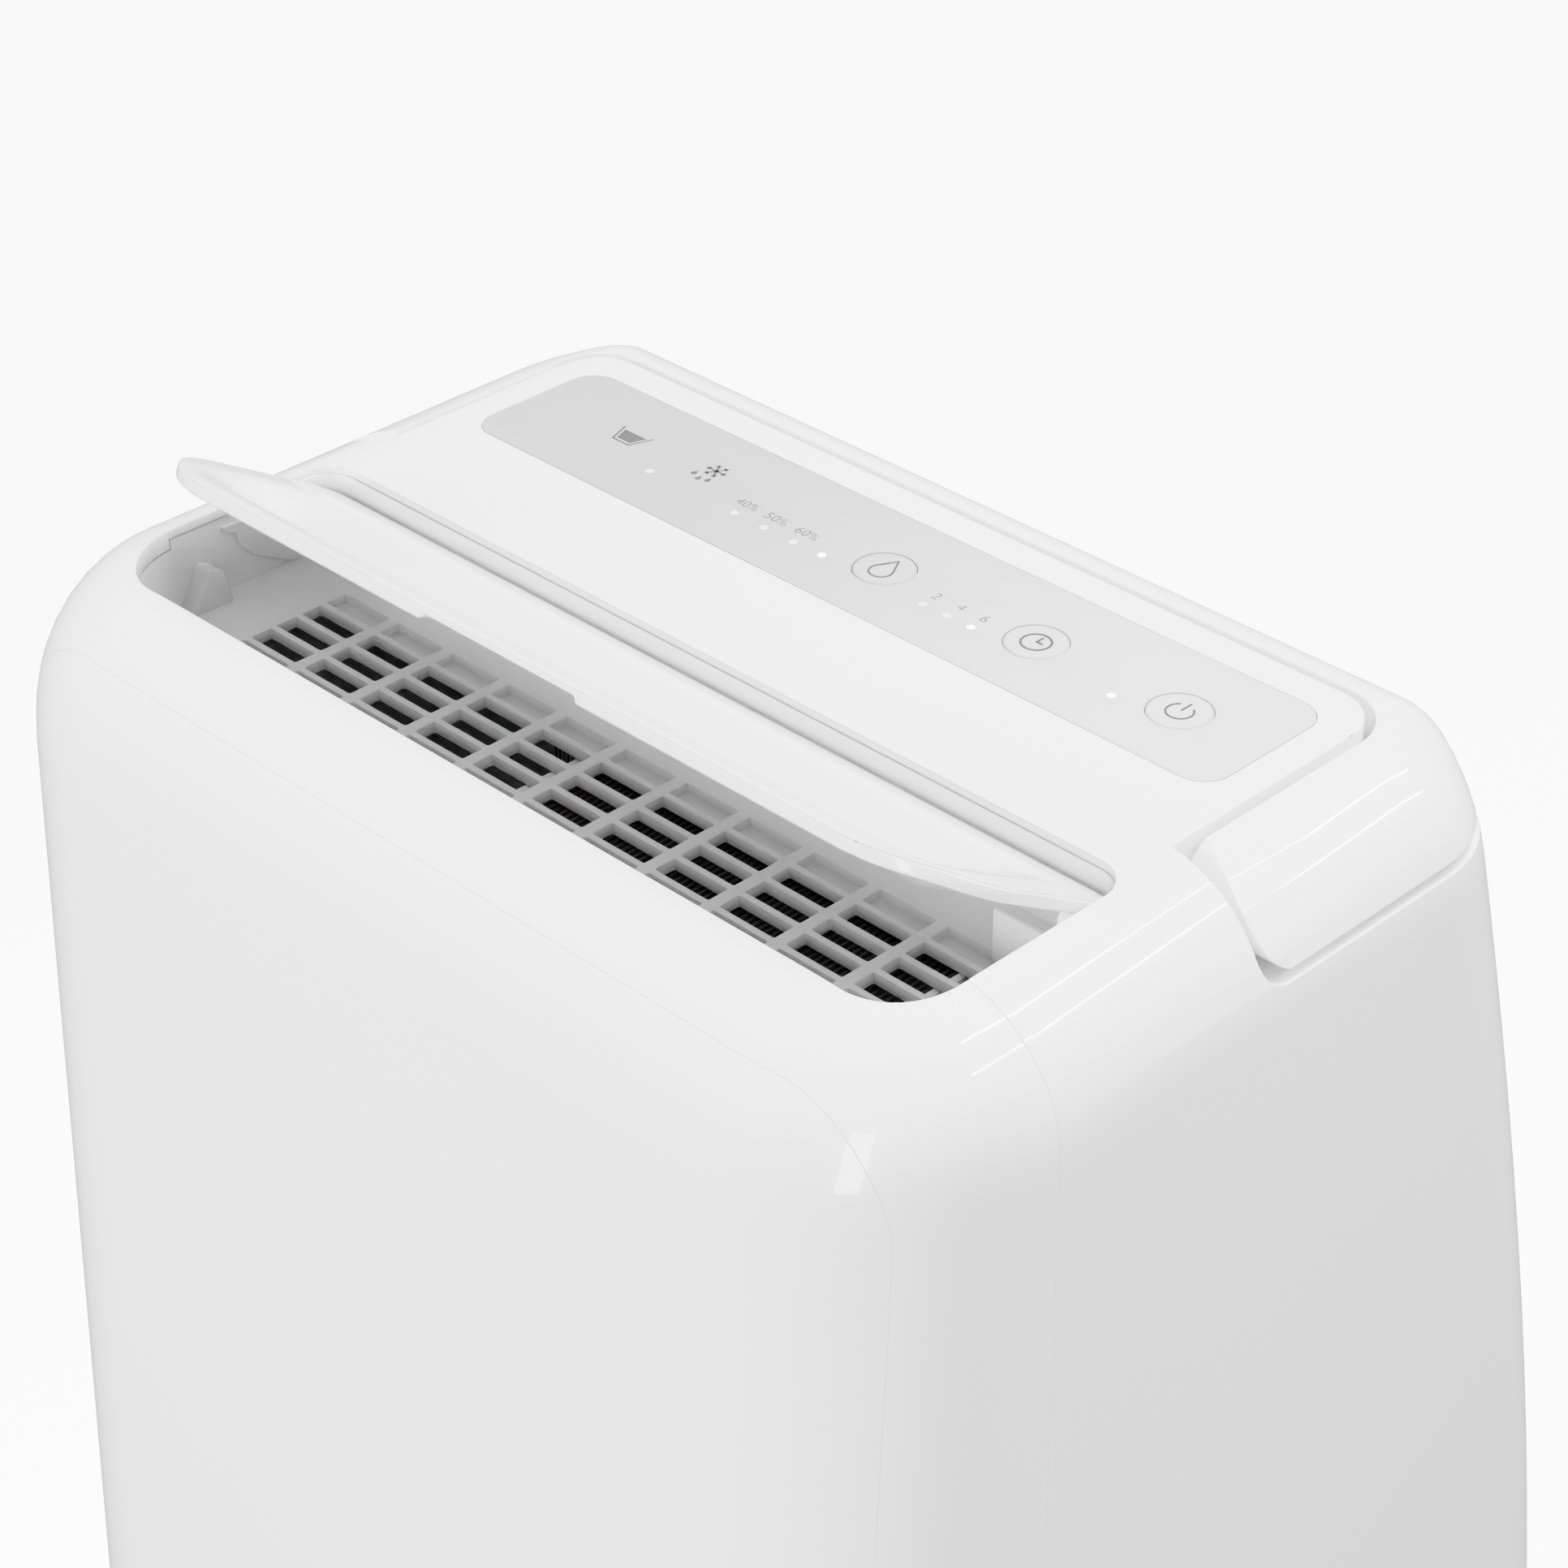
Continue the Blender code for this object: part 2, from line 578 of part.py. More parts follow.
def louver_half_width(y):
    """Return the louver's half width at y, with its rounded front and back corners."""
    half = OUTLET_HALF_X - 0.0010
    front_y = OUTLET_FRONT_Y + 0.0009
    front = LOUVER_FRONT_R
    back = OUTLET_BACK_R
    if y < front_y + front:
        rest = front_y + front - y
        return half - front + math.sqrt(max(front ** 2 - rest ** 2, 0.0))
    if y > LOUVER_BACK_Y - back:
        rest = y - (LOUVER_BACK_Y - back)
        return half - back + math.sqrt(max(back ** 2 - rest ** 2, 0.0))
    return half


def ramp(value, low, high):
    """Return a smooth 0 to 1 step between low and high."""
    t = min(max((value - low) / (high - low), 0.0), 1.0)
    return t * t * (3 - 2 * t)


def louver_top(x, y):
    """Return the height of the closed louver's upper face, which is slightly dished."""
    reach = max(FRONT_Y + FRONT_ROLL_R - y, 0.0)
    drop = FRONT_ROLL_R - math.sqrt(FRONT_ROLL_R ** 2 - reach ** 2)
    crease_y = LOUVER_Y - 0.0260
    fore = 1.0 - ramp(-y, -crease_y, -OUTLET_FRONT_Y - 0.003)
    aft = 1.0 - min(max((y - crease_y) / (LOUVER_Y - crease_y + 0.004), 0.0), 1.0)
    side = 1.0 - ramp(abs(x), OUTLET_HALF_X - 0.026, OUTLET_HALF_X - 0.003)
    return DECK_Z - drop - LOUVER_DISH * fore * aft * side


def make_louver():
    """Tilting louver: a thin dished blade on two ears, turned open about its pins."""
    columns = (-1.0, -0.98, -0.93, -0.84, 0.0, 0.84, 0.93, 0.98, 1.0)
    front_y = OUTLET_FRONT_Y + 0.0009
    depth = LOUVER_BACK_Y - front_y
    rows = (0.0, 0.015, 0.06, 0.14, 0.25, 0.40, 0.52, 0.72, 0.90, 0.97, 1.0)
    bm = bmesh.new()
    grid = bmesh.ops.create_grid(bm, x_segments=len(columns) - 1, y_segments=len(rows) - 1, size=1.0)
    for vert in grid["verts"]:
        u = columns[round((vert.co.x + 1) / 2 * (len(columns) - 1))]
        y = front_y + depth * rows[round((vert.co.y + 1) / 2 * (len(rows) - 1))]
        x = u * louver_half_width(y)
        vert.co = (x, y, louver_top(x, y))
    bmesh.ops.recalc_face_normals(bm, faces=bm.faces)
    if sum(face.normal.z for face in bm.faces) < 0:
        bmesh.ops.reverse_faces(bm, faces=bm.faces)
    mesh = bpy.data.meshes.new("louver")
    bm.to_mesh(mesh)
    bm.free()
    mesh.shade_smooth()
    blade = add_object("louver", mesh, GLOSS_WHITE)
    move_origin(blade, (0, LOUVER_Y, LOUVER_Z))
    wall = blade.modifiers.new("thickness", "SOLIDIFY")
    wall.thickness = LOUVER_T
    wall.offset = -1.0
    wall.use_rim = True
    for side in (-1, 1):
        ear_x = side * (OUTLET_HALF_X - 0.0040)
        ear = cylinder(f"louver_ear_{side}", (ear_x, LOUVER_Y, LOUVER_Z), 0.0034, 0.0042, "x", sides=20)
        pin = cylinder(f"louver_pin_{side}", (side * (OUTLET_HALF_X - 0.0005), LOUVER_Y, LOUVER_Z),
                       PIN_R, 0.0040, "x", sides=16)
        for piece in (ear, pin):
            move_origin(piece, (0, LOUVER_Y, LOUVER_Z))
            piece.rotation_euler.x = -LOUVER_ANGLE
        join(blade, ear, pin)
    roof = louver_top(0, front_y) - NOTCH_SKIN
    profile = [(-NOTCH_HALF_X - 0.005, roof - 0.006), (NOTCH_HALF_X + 0.005, roof - 0.006),
               (NOTCH_HALF_X, roof), (-NOTCH_HALF_X, roof)]
    notch = prism("finger_notch", profile, front_y - 0.010, front_y + NOTCH_DEPTH, axis="y")
    move_origin(notch, (0, LOUVER_Y, LOUVER_Z))
    notch.rotation_euler.x = -LOUVER_ANGLE
    cut(blade, notch)
    blade.rotation_euler.x = -LOUVER_ANGLE
    return blade


def make_outlet_vanes():
    """Black guide vanes standing in the mouth of the blower's duct."""
    low_x, high_x = DUCT_X[0] + 0.0025, DUCT_X[1] - 0.0025
    low_y, high_y = DUCT_Y[0] + 0.0025, DUCT_Y[1] - 0.0025
    z = (GRILLE_Z - GRILLE_T - 0.0250, GRILLE_Z - GRILLE_T - 0.0010)
    frame = box("outlet_vanes", (low_x, low_y, z[0]), (high_x, high_y, z[1]), BLACK_PLASTIC)
    bm = bmesh.new()
    count = 12
    pitch = (high_x - low_x - 0.002) / count
    for i in range(count):
        left = low_x + 0.002 + i * pitch
        size = (pitch - 0.002, high_y - low_y - 0.004, 0.1)
        middle = (left + size[0] / 2, (low_y + high_y) / 2, z[0])
        bmesh.ops.create_cube(bm, size=1.0, matrix=Matrix.Translation(middle) @ Matrix.Diagonal((*size, 1.0)))
    return cut(frame, finish_bmesh("vane_gaps", bm))


# ---------------------------------------------------------------- blower


DUCT_X = (-0.0180, 0.1180)
DUCT_Y = (-0.1060, -0.0560)
SCROLL_Y = (-0.1060, -0.0400)
SCROLL_R = 0.0940


def make_blower():
    """Scroll housing with its duct, blower wheel, motor and shaft."""
    x, z = BLOWER_XZ
    middle_y = sum(SCROLL_Y) / 2
    depth = SCROLL_Y[1] - SCROLL_Y[0]
    wall = 0.0020
    duct_top = GRILLE_Z - GRILLE_T - 0.0006
    scroll = cylinder("scroll_housing", (x, middle_y, z), SCROLL_R, depth, "y", INNER_GREY, 32)
    join(scroll, box("duct_outer", (DUCT_X[0], DUCT_Y[0], z), (DUCT_X[1], DUCT_Y[1], duct_top)))
    cut(scroll, cylinder("scroll_inside", (x, middle_y, z), SCROLL_R - wall, depth - 2 * wall, "y", None, 32))
    cut(scroll, box("duct_inside", (DUCT_X[0] + wall, DUCT_Y[0] + wall, z),
                    (DUCT_X[1] - wall, DUCT_Y[1] - wall, duct_top + 0.02)))
    cut(scroll, cylinder("scroll_inlet", (x, SCROLL_Y[1], z), 0.056, 0.02, "y", None, 32))
    cut(scroll, cylinder("shaft_hole", (x, SCROLL_Y[0], z), 0.008, 0.02, "y", None, 16))

    wheel_y = (SCROLL_Y[0] + 0.0060, SCROLL_Y[1] - 0.0060)
    wheel = cylinder("blower_wheel", (x, sum(wheel_y) / 2, z), BLOWER_R, wheel_y[1] - wheel_y[0], "y",
                     BLACK_PLASTIC, 32)
    cut(wheel, cylinder("wheel_inside", (x, wheel_y[0] + 0.003 + 0.05, z), BLOWER_R - 0.012, 0.1, "y", None, 32))
    bm = bmesh.new()
    blades = 18
    for i in range(blades):
        turn = Matrix.Rotation(2 * math.pi * i / blades, 4, "Y")
        size = Matrix.Diagonal((0.016, wheel_y[1] - wheel_y[0] - 0.009, 0.0150, 1.0))
        place = Matrix.Translation((x, (sum(wheel_y)) / 2 + 0.0005, z)) @ turn
        bmesh.ops.create_cube(bm, size=1.0, matrix=place @ Matrix.Translation((BLOWER_R - 0.004, 0, 0)) @ size)
    cut(wheel, finish_bmesh("blade_gaps", bm))
    join(wheel, cylinder("wheel_hub", (x, wheel_y[0] + 0.009, z), 0.012, 0.0180, "y", None, 20))
    cut(wheel, cylinder("hub_bore", (x, wheel_y[0], z), 0.0034, 0.05, "y", None, 16))
    move_origin(wheel, (x, sum(wheel_y) / 2, z))

    motor = cylinder("fan_motor", (x, SCROLL_Y[0] - 0.0135, z), 0.036, 0.0250, "y", ZINC, 28)
    join(motor, cylinder("motor_boss", (x, SCROLL_Y[0] - 0.0275 + 0.0265, z), 0.0072, 0.0060, "y", None, 16))
    join(motor, cylinder("motor_shaft", (x, SCROLL_Y[0] + 0.004, z), 0.0030, 0.0400, "y", None, 16))
    return scroll, wheel, motor


# ---------------------------------------------------------------- refrigeration


def make_coil(name, y, rows, look_fins=ALUMINIUM):
    """Finned block with return bends standing out of one end plate."""
    x0, x1 = -0.112, 0.112
    z0, z1 = 0.2790, 0.4790
    thick = 0.0220
    coil = box(name, (x0, y - thick / 2, z0), (x1, y + thick / 2, z1), look_fins)
    pitch = (z1 - z0) / rows
    for i in range(rows // 2):
        low = z0 + pitch * (2 * i + 0.5)
        bend = rounded_path(((x1 - 0.004, y, low), (x1 + 0.016, y, low), (x1 + 0.016, y, low + pitch),
                             (x1 - 0.004, y, low + pitch)), pitch / 2, steps=3)
        join(coil, tube(f"{name}_bend_{i}", bend, 0.0040, sides=4))
    return coil


def make_refrigeration():
    """Evaporator, condenser, compressor on three mounts, and the two main lines."""
    make_coil("evaporator", 0.0600, 8)
    make_coil("condenser", 0.0220, 8)
    x, y = COMPRESSOR_XY
    can = cylinder("compressor", (x, y, 0.1300), COMPRESSOR_R, 0.1080, "z", BLACK_PAINT, 32)
    join(can, cylinder("can_top", (x, y, 0.1920), COMPRESSOR_R, 0.0180, "z", None, 32, 0.030))
    join(can, cylinder("can_bottom", (x, y, 0.0720), 0.042, 0.0100, "z", None, 32, COMPRESSOR_R))
    mounts = []
    for i in range(3):
        angle = math.radians(30 + 120 * i)
        foot = Vector((x + 0.064 * math.cos(angle), y + 0.064 * math.sin(angle), 0.0))
        arm = tube(f"can_foot_{i}", [(x, y, 0.0705), (foot.x, foot.y, 0.0705)], 0.0040, sides=4)
        pad = cylinder(f"can_pad_{i}", (foot.x, foot.y, 0.0705), 0.0095, 0.0080, "z", None, 16)
        join(can, arm, pad)
        mounts.append(cylinder(f"compressor_mount_{i + 1}", (foot.x, foot.y, 0.0438), 0.0090, 0.0448, "z",
                               RUBBER, 16))
    suction = rounded_path(((0.1250, 0.0450, 0.2900), (0.1420, 0.0350, 0.2900), (0.1420, -0.0040, 0.2900),
                            (0.1420, -0.0040, 0.2250), (-0.0500, -0.0040, 0.2250), (-0.0700, -0.0300, 0.2250),
                            (-0.0700, -0.0650, 0.2250), (-0.0700, -0.0650, 0.2014)), 0.012)
    tube("suction_line", suction, 0.0040, COPPER)
    return can, mounts


# ---------------------------------------------------------------- chassis and base


def make_chassis():
    """Base pan with caster wells, partition with its shelf, and the drip tray."""
    low, high = BASE_Z + 0.0002, 0.0580
    inset = FRONT_SKIN + GAP
    rings = [section(low + 0.0, inset), section(high, inset)]
    pan = loft("base_pan", rings, INNER_GREY)
    inside = [section(low + 0.0030, inset + 0.0030), section(high + 0.02, inset + 0.0030)]
    cut(pan, loft("pan_hollow", inside))
    for x in (-CASTER_X, CASTER_X):
        for y in CASTER_Y:
            tag = f"{x:.2f}_{y:.2f}"
            join(pan, cylinder("well_" + tag, (x, y, 0.0300), 0.0270, 0.0200, "z", None, 20))
    for x in (-CASTER_X, CASTER_X):
        for y in CASTER_Y:
            tag = f"{x:.2f}_{y:.2f}"
            cut(pan, cylinder("well_inside_" + tag, (x, y, 0.0230), 0.0245, 0.0280, "z", None, 20),
                cylinder("well_bore_" + tag, (x, y, 0.0300), 0.0043, 0.0400, "z", None, 12))
    cut(pan, region("pan_tank_mouth", (-TANK_HALF_X - 0.001, TANK_HALF_X + 0.001), (0.1, FAR),
                    (TANK_Z[0] - 0.001, 0.1)))

    frame = box("partition", (-0.1640, 0.0060, 0.0220), (0.1640, 0.0085, SHELF_Z), INNER_GREY)
    shelf = box("shelf_plate", (-0.1660, -0.1220, SHELF_Z - 0.0025), (0.1660, 0.1280, SHELF_Z))
    join(frame, shelf)
    cut(frame, region("line_slot", (0.1320, 0.1520), (-0.0140, 0.0050), (0.2, 0.3)))
    cut(frame, region("drip_hole", (-0.0100, 0.0100), (0.0400, 0.0600), (0.2, 0.3)))

    tray = box("drip_tray", (-0.1500, 0.0060, SHELF_Z + 0.0003), (0.1200, 0.0950, SHELF_Z + 0.0220), SATIN_WHITE)
    cut(tray, box("drip_hollow", (-0.1480, 0.0080, SHELF_Z + 0.0023), (0.1180, 0.0930, SHELF_Z + 0.05)))
    join(tray, cylinder("drip_spout", (0, 0.0500, SHELF_Z - 0.0010), 0.0080, 0.0060, "z", None, 20))
    cut(tray, cylinder("drip_bore", (0, 0.0500, SHELF_Z), 0.0060, 0.0300, "z", None, 20))
    return pan, frame, tray


# ---------------------------------------------------------------- tank


def make_tank():
    """Bucket that slides out of the back, with a finger scoop, and its lid."""
    low, high = TANK_Z
    bucket = casing_solid("water_tank", 0.0, look=SMOKE)
    keep(bucket, region("tank_outer", (-TANK_HALF_X, TANK_HALF_X), (TANK_FRONT_Y, FAR), (low, high)))
    hollow = casing_solid("tank_hollow", TANK_WALL)
    keep(hollow, region("tank_inner", (-TANK_HALF_X + TANK_WALL, TANK_HALF_X - TANK_WALL),
                        (TANK_FRONT_Y + TANK_WALL, FAR), (low + TANK_WALL, high + 0.02)))
    cut(bucket, hollow)
    grip = rounded_outline(-0.045, 0.045, 0.180, 0.205, (0.008,) * 4, steps=4)
    cut(bucket, prism("tank_grip", grip, BACK_Y - 0.02, BACK_Y + 0.02, axis="y"))
    scoop = prism("tank_scoop", [(-0.050, 0.172), (0.050, 0.172), (0.050, 0.213), (-0.050, 0.213)],
                  BACK_Y - 0.024, BACK_Y - 0.0015, axis="y")
    inner = prism("scoop_hollow", rounded_outline(-0.045, 0.045, 0.180, 0.205, (0.008,) * 4, steps=4),
                  BACK_Y - 0.0215, BACK_Y + 0.02, axis="y")
    keep(scoop, casing_solid("scoop_limit", 0.0005))
    join(bucket, scoop)
    cut(bucket, inner)

    lid = casing_solid("tank_lid", TANK_WALL + GAP, look=SATIN_WHITE)
    keep(lid, region("lid_outer", (-TANK_HALF_X + 0.0010, TANK_HALF_X - 0.0010), (TANK_FRONT_Y + 0.0005, FAR),
                     (high + GAP, high + 0.0028)))
    cut(lid, region("lid_inlet", (-0.0300, 0.0300), (0.0350, 0.0800), (high - 0.01, high + 0.02)))
    x, y, z = FLOAT_PIN
    for side in (-1, 1):
        ear_x = x + side * 0.0118
        join(lid, box(f"float_ear_{side}", (ear_x - 0.0010, y - 0.0055, z - 0.0055),
                      (ear_x + 0.0010, y + 0.0055, high + 0.0015)))
    cut(lid, cylinder("float_bore", FLOAT_PIN, 0.0033, 0.05, "x", None, 16))
    return bucket, lid


def make_tank_fittings():
    """Float that lifts the full-tank switch, on a pin between the lid's two ears."""
    high = TANK_Z[1]
    arm = box("tank_float", (-0.1380, 0.0240, high - 0.0450), (-0.0980, 0.0560, high - 0.0250), FOAM_WHITE)
    join(arm, box("float_arm", (-0.1220, 0.0500, high - 0.0330), (-0.1140, 0.0900, high - 0.0300)))
    join(arm, cylinder("float_pin", FLOAT_PIN, 0.0030, 0.0260, "x", None, 16))
    move_origin(arm, FLOAT_PIN)
    return arm


# ---------------------------------------------------------------- filter


def make_filter():
    """Rear intake grille with the washable filter behind it, following the curved back."""
    span = (-FILTER_HALF_X, FILTER_HALF_X)
    grille = casing_solid("rear_grille", 0.0, look=SATIN_WHITE)
    cut(grille, casing_solid("grille_core", SKIN))
    keep(grille, region("grille_area", span, (0.03, FAR), FILTER_Z))
    bm = bmesh.new()
    rows, columns = 13, 2
    pitch = (FILTER_Z[1] - FILTER_Z[0] - 0.020) / rows
    width = (2 * FILTER_HALF_X - 0.028) / columns
    for row in range(rows):
        for column in range(columns):
            middle = (-FILTER_HALF_X + 0.014 + width * (column + 0.5), 0.12, FILTER_Z[0] + 0.010 + pitch * (row + 0.5))
            size = (width - 0.006, 0.2, pitch * 0.62)
            bmesh.ops.create_cube(bm, size=1.0, matrix=Matrix.Translation(middle) @ Matrix.Diagonal((*size, 1.0)))
    cut(grille, finish_bmesh("intake_slots", bm))

    frame = casing_solid("filter_frame", 0.0032, look=BLACK_PLASTIC)
    cut(frame, casing_solid("frame_core", 0.0082))
    keep(frame, region("frame_area", (-0.1260, 0.1260), (0.03, FAR), (0.2740, 0.4860)))
    cut(frame, region("frame_window_left", (-0.1200, -0.0020), (0.0, FAR), (0.2800, 0.4800)),
        region("frame_window_right", (0.0020, 0.1200), (0.0, FAR), (0.2800, 0.4800)))
    meshes = []
    for name, x in (("filter_mesh_left", (-0.1197, -0.0023)), ("filter_mesh_right", (0.0023, 0.1197))):
        pad = casing_solid(name, 0.0047, look=MESH_GREY)
        cut(pad, casing_solid(name + "_core", 0.0060))
        keep(pad, region(name + "_area", x, (0.03, FAR), (0.2803, 0.4797)))
        meshes.append(pad)
    return grille, frame, meshes


# ---------------------------------------------------------------- electrics and small parts


def make_electrics():
    """Electrical box with its board and capacitor, sensor, float switch, gland and drain cap."""
    case = box("electrical_box", (0.0250, -0.1250, 0.0700), (0.1450, -0.0150, 0.2000), INNER_GREY)
    cut(case, box("box_hollow", (0.0270, -0.1230, 0.0720), (0.1430, -0.0170, 0.2100)))
    box("main_board", (0.0300, -0.1150, 0.0900), (0.0316, -0.0250, 0.1850), BOARD_GREEN)
    cylinder("run_capacitor", (0.1000, -0.0700, 0.1150), 0.0200, 0.0700, "z", ALUMINIUM, 24)
    box("humidity_sensor", (0.1480, 0.0600, 0.3900), (0.1560, 0.0900, 0.4100), BLACK_PLASTIC)
    box("float_switch", (-0.1280, 0.0088, 0.2360), (-0.1080, 0.0125, 0.2440), BLACK_PLASTIC)

    x, y, z = GLAND_CENTER
    gland = cylinder("cord_gland", (x, y - 0.0010, z), 0.0058, 0.0140, "y", BLACK_PLASTIC, 20)
    join(gland, cylinder("gland_nose", (x, y + 0.0052, z), 0.0056, 0.0040, "y", None, 20))
    cut(gland, cylinder("gland_hole", (x, y, z), 0.0032, 0.05, "y", None, 16))

    for i, (x, z) in enumerate(SCREW_XZ):
        y = back_line(z)
        cylinder(f"case_screw_{i + 1}", (x, y - 0.0060, z), 0.0038, 0.0140, "y", ZINC, 16)

    x, y, z = DRAIN_CENTER
    cap = cylinder("drain_cap", (x, y + 0.0040, z), 0.0078, 0.0120, "y", BLACK_PLASTIC, 20)
    join(cap, cylinder("drain_grip", (x, y + 0.0100, z), 0.0105, 0.0030, "y", None, 20))
    return gland, cap


# ---------------------------------------------------------------- casters


def make_caster(name, x, y):
    """Swivel caster: a fork on an upright stem, and a wheel turning on its axle."""
    wheel_y = y + CASTER_TRAIL
    plate_z = 0.0340
    fork = cylinder(name + "_fork", (x, y, plate_z), 0.0130, 0.0030, "z", BLACK_PLASTIC, 16)
    join(fork, cylinder(name + "_stem", (x, y, plate_z + 0.0030), 0.0040, 0.0080, "z", None, 12))
    for side in (-1, 1):
        cheek = [(y - 0.0080, plate_z), (y + 0.0080, plate_z), (wheel_y + 0.0045, CASTER_WHEEL_R + 0.002),
                 (wheel_y + 0.0030, CASTER_WHEEL_R - 0.0040), (wheel_y - 0.0030, CASTER_WHEEL_R - 0.0040),
                 (wheel_y - 0.0050, CASTER_WHEEL_R + 0.002)]
        join(fork, prism(f"{name}_cheek_{side}", cheek, x + side * 0.0087 - 0.0010, x + side * 0.0087 + 0.0010,
                         axis="x"))
    join(fork, cylinder(name + "_axle", (x, wheel_y, CASTER_WHEEL_R), 0.0020, 0.0174, "x", None, 10))
    move_origin(fork, (x, y, plate_z))

    wheel = cylinder(name + "_wheel", (x, wheel_y, CASTER_WHEEL_R), CASTER_WHEEL_R, 0.0140, "x", RUBBER, 28)
    cut(wheel, cylinder(name + "_wheel_bore", (x, wheel_y, CASTER_WHEEL_R), 0.0023, 0.03, "x", None, 10))
    move_origin(wheel, (x, wheel_y, CASTER_WHEEL_R))
    return fork, wheel


def make_casters():
    """Four casters under the base."""
    for front_name, y in zip(("front", "rear"), CASTER_Y):
        for side_name, x in (("left", -CASTER_X), ("right", CASTER_X)):
            make_caster(f"caster_{front_name}_{side_name}", x, y)


def main():
    """Build every piece."""
    make_cabinet()
    make_front()
    make_handle()
    make_controls()
    make_outlet()
    make_louver()
    make_outlet_vanes()
    make_blower()
    make_refrigeration()
    make_chassis()
    make_tank()
    make_tank_fittings()
    make_filter()
    make_electrics()
    make_casters()
    bpy.context.view_layer.update()


main()
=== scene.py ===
"""Looks of a portable dehumidifier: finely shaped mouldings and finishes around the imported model.

Metres, +Z up, the front faces -Y. Every piece rides on the body of the solid that it stands for.
"""

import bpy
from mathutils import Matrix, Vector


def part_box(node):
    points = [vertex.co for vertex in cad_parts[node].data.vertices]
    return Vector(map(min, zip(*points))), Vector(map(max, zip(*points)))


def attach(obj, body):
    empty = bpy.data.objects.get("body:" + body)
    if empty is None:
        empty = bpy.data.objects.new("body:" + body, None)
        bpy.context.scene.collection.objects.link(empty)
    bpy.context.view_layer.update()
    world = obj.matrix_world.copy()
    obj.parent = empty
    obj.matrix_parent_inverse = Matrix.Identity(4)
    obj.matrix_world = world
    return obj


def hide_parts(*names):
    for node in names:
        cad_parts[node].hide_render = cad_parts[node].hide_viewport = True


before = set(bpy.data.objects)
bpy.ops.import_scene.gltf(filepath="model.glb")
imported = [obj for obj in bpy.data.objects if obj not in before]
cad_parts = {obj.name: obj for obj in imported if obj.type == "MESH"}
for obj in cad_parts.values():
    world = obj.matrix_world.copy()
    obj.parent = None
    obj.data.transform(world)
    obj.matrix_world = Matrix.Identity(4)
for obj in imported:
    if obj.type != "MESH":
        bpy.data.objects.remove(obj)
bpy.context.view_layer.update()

import logging
import math
from dataclasses import dataclass
from enum import Enum
from typing import Iterable, Sequence

import bmesh
import bpy
from mathutils import Matrix, Vector
from mathutils.bvhtree import BVHTree

LOG = logging.getLogger("dehumidifier")
WELD = 0.00001
NEAR_SURFACE = 0.00012
ON_SURFACE = 0.00004
SAME_WAY = 0.93
Point2 = tuple[float, float]
Point3 = tuple[float, float, float]


# ---------------------------------------------------------------- shader maths


class Wire:
    """A shader value that takes part in Python arithmetic."""

    def __init__(self, tree: bpy.types.NodeTree, socket: bpy.types.NodeSocket) -> None:
        """Hold a socket of a node tree."""
        self.tree = tree
        self.socket = socket

    def _math(self, operation: str, first: "Wire | float", second: "Wire | float") -> "Wire":
        """Add one Math node.

        Args:
            operation: the node's operation.
            first: its first value.
            second: its second value.

        Returns:
            The result as a wire.
        """
        node = self.tree.nodes.new("ShaderNodeMath")
        node.operation = operation
        for slot, value in zip(node.inputs, (first, second)):
            if isinstance(value, Wire):
                self.tree.links.new(value.socket, slot)
            else:
                slot.default_value = value
        return Wire(self.tree, node.outputs[0])

    def __add__(self, other: "Wire | float") -> "Wire":
        """Return self + other."""
        return self._math("ADD", self, other)

    def __radd__(self, other: float) -> "Wire":
        """Return other + self."""
        return self._math("ADD", other, self)

    def __sub__(self, other: "Wire | float") -> "Wire":
        """Return self - other."""
        return self._math("SUBTRACT", self, other)

    def __rsub__(self, other: float) -> "Wire":
        """Return other - self."""
        return self._math("SUBTRACT", other, self)

    def __mul__(self, other: "Wire | float") -> "Wire":
        """Return self * other."""
        return self._math("MULTIPLY", self, other)

    def __rmul__(self, other: float) -> "Wire":
        """Return other * self."""
        return self._math("MULTIPLY", other, self)

    def power(self, other: float) -> "Wire":
        """Return self raised to a power."""
        return self._math("POWER", self, other)


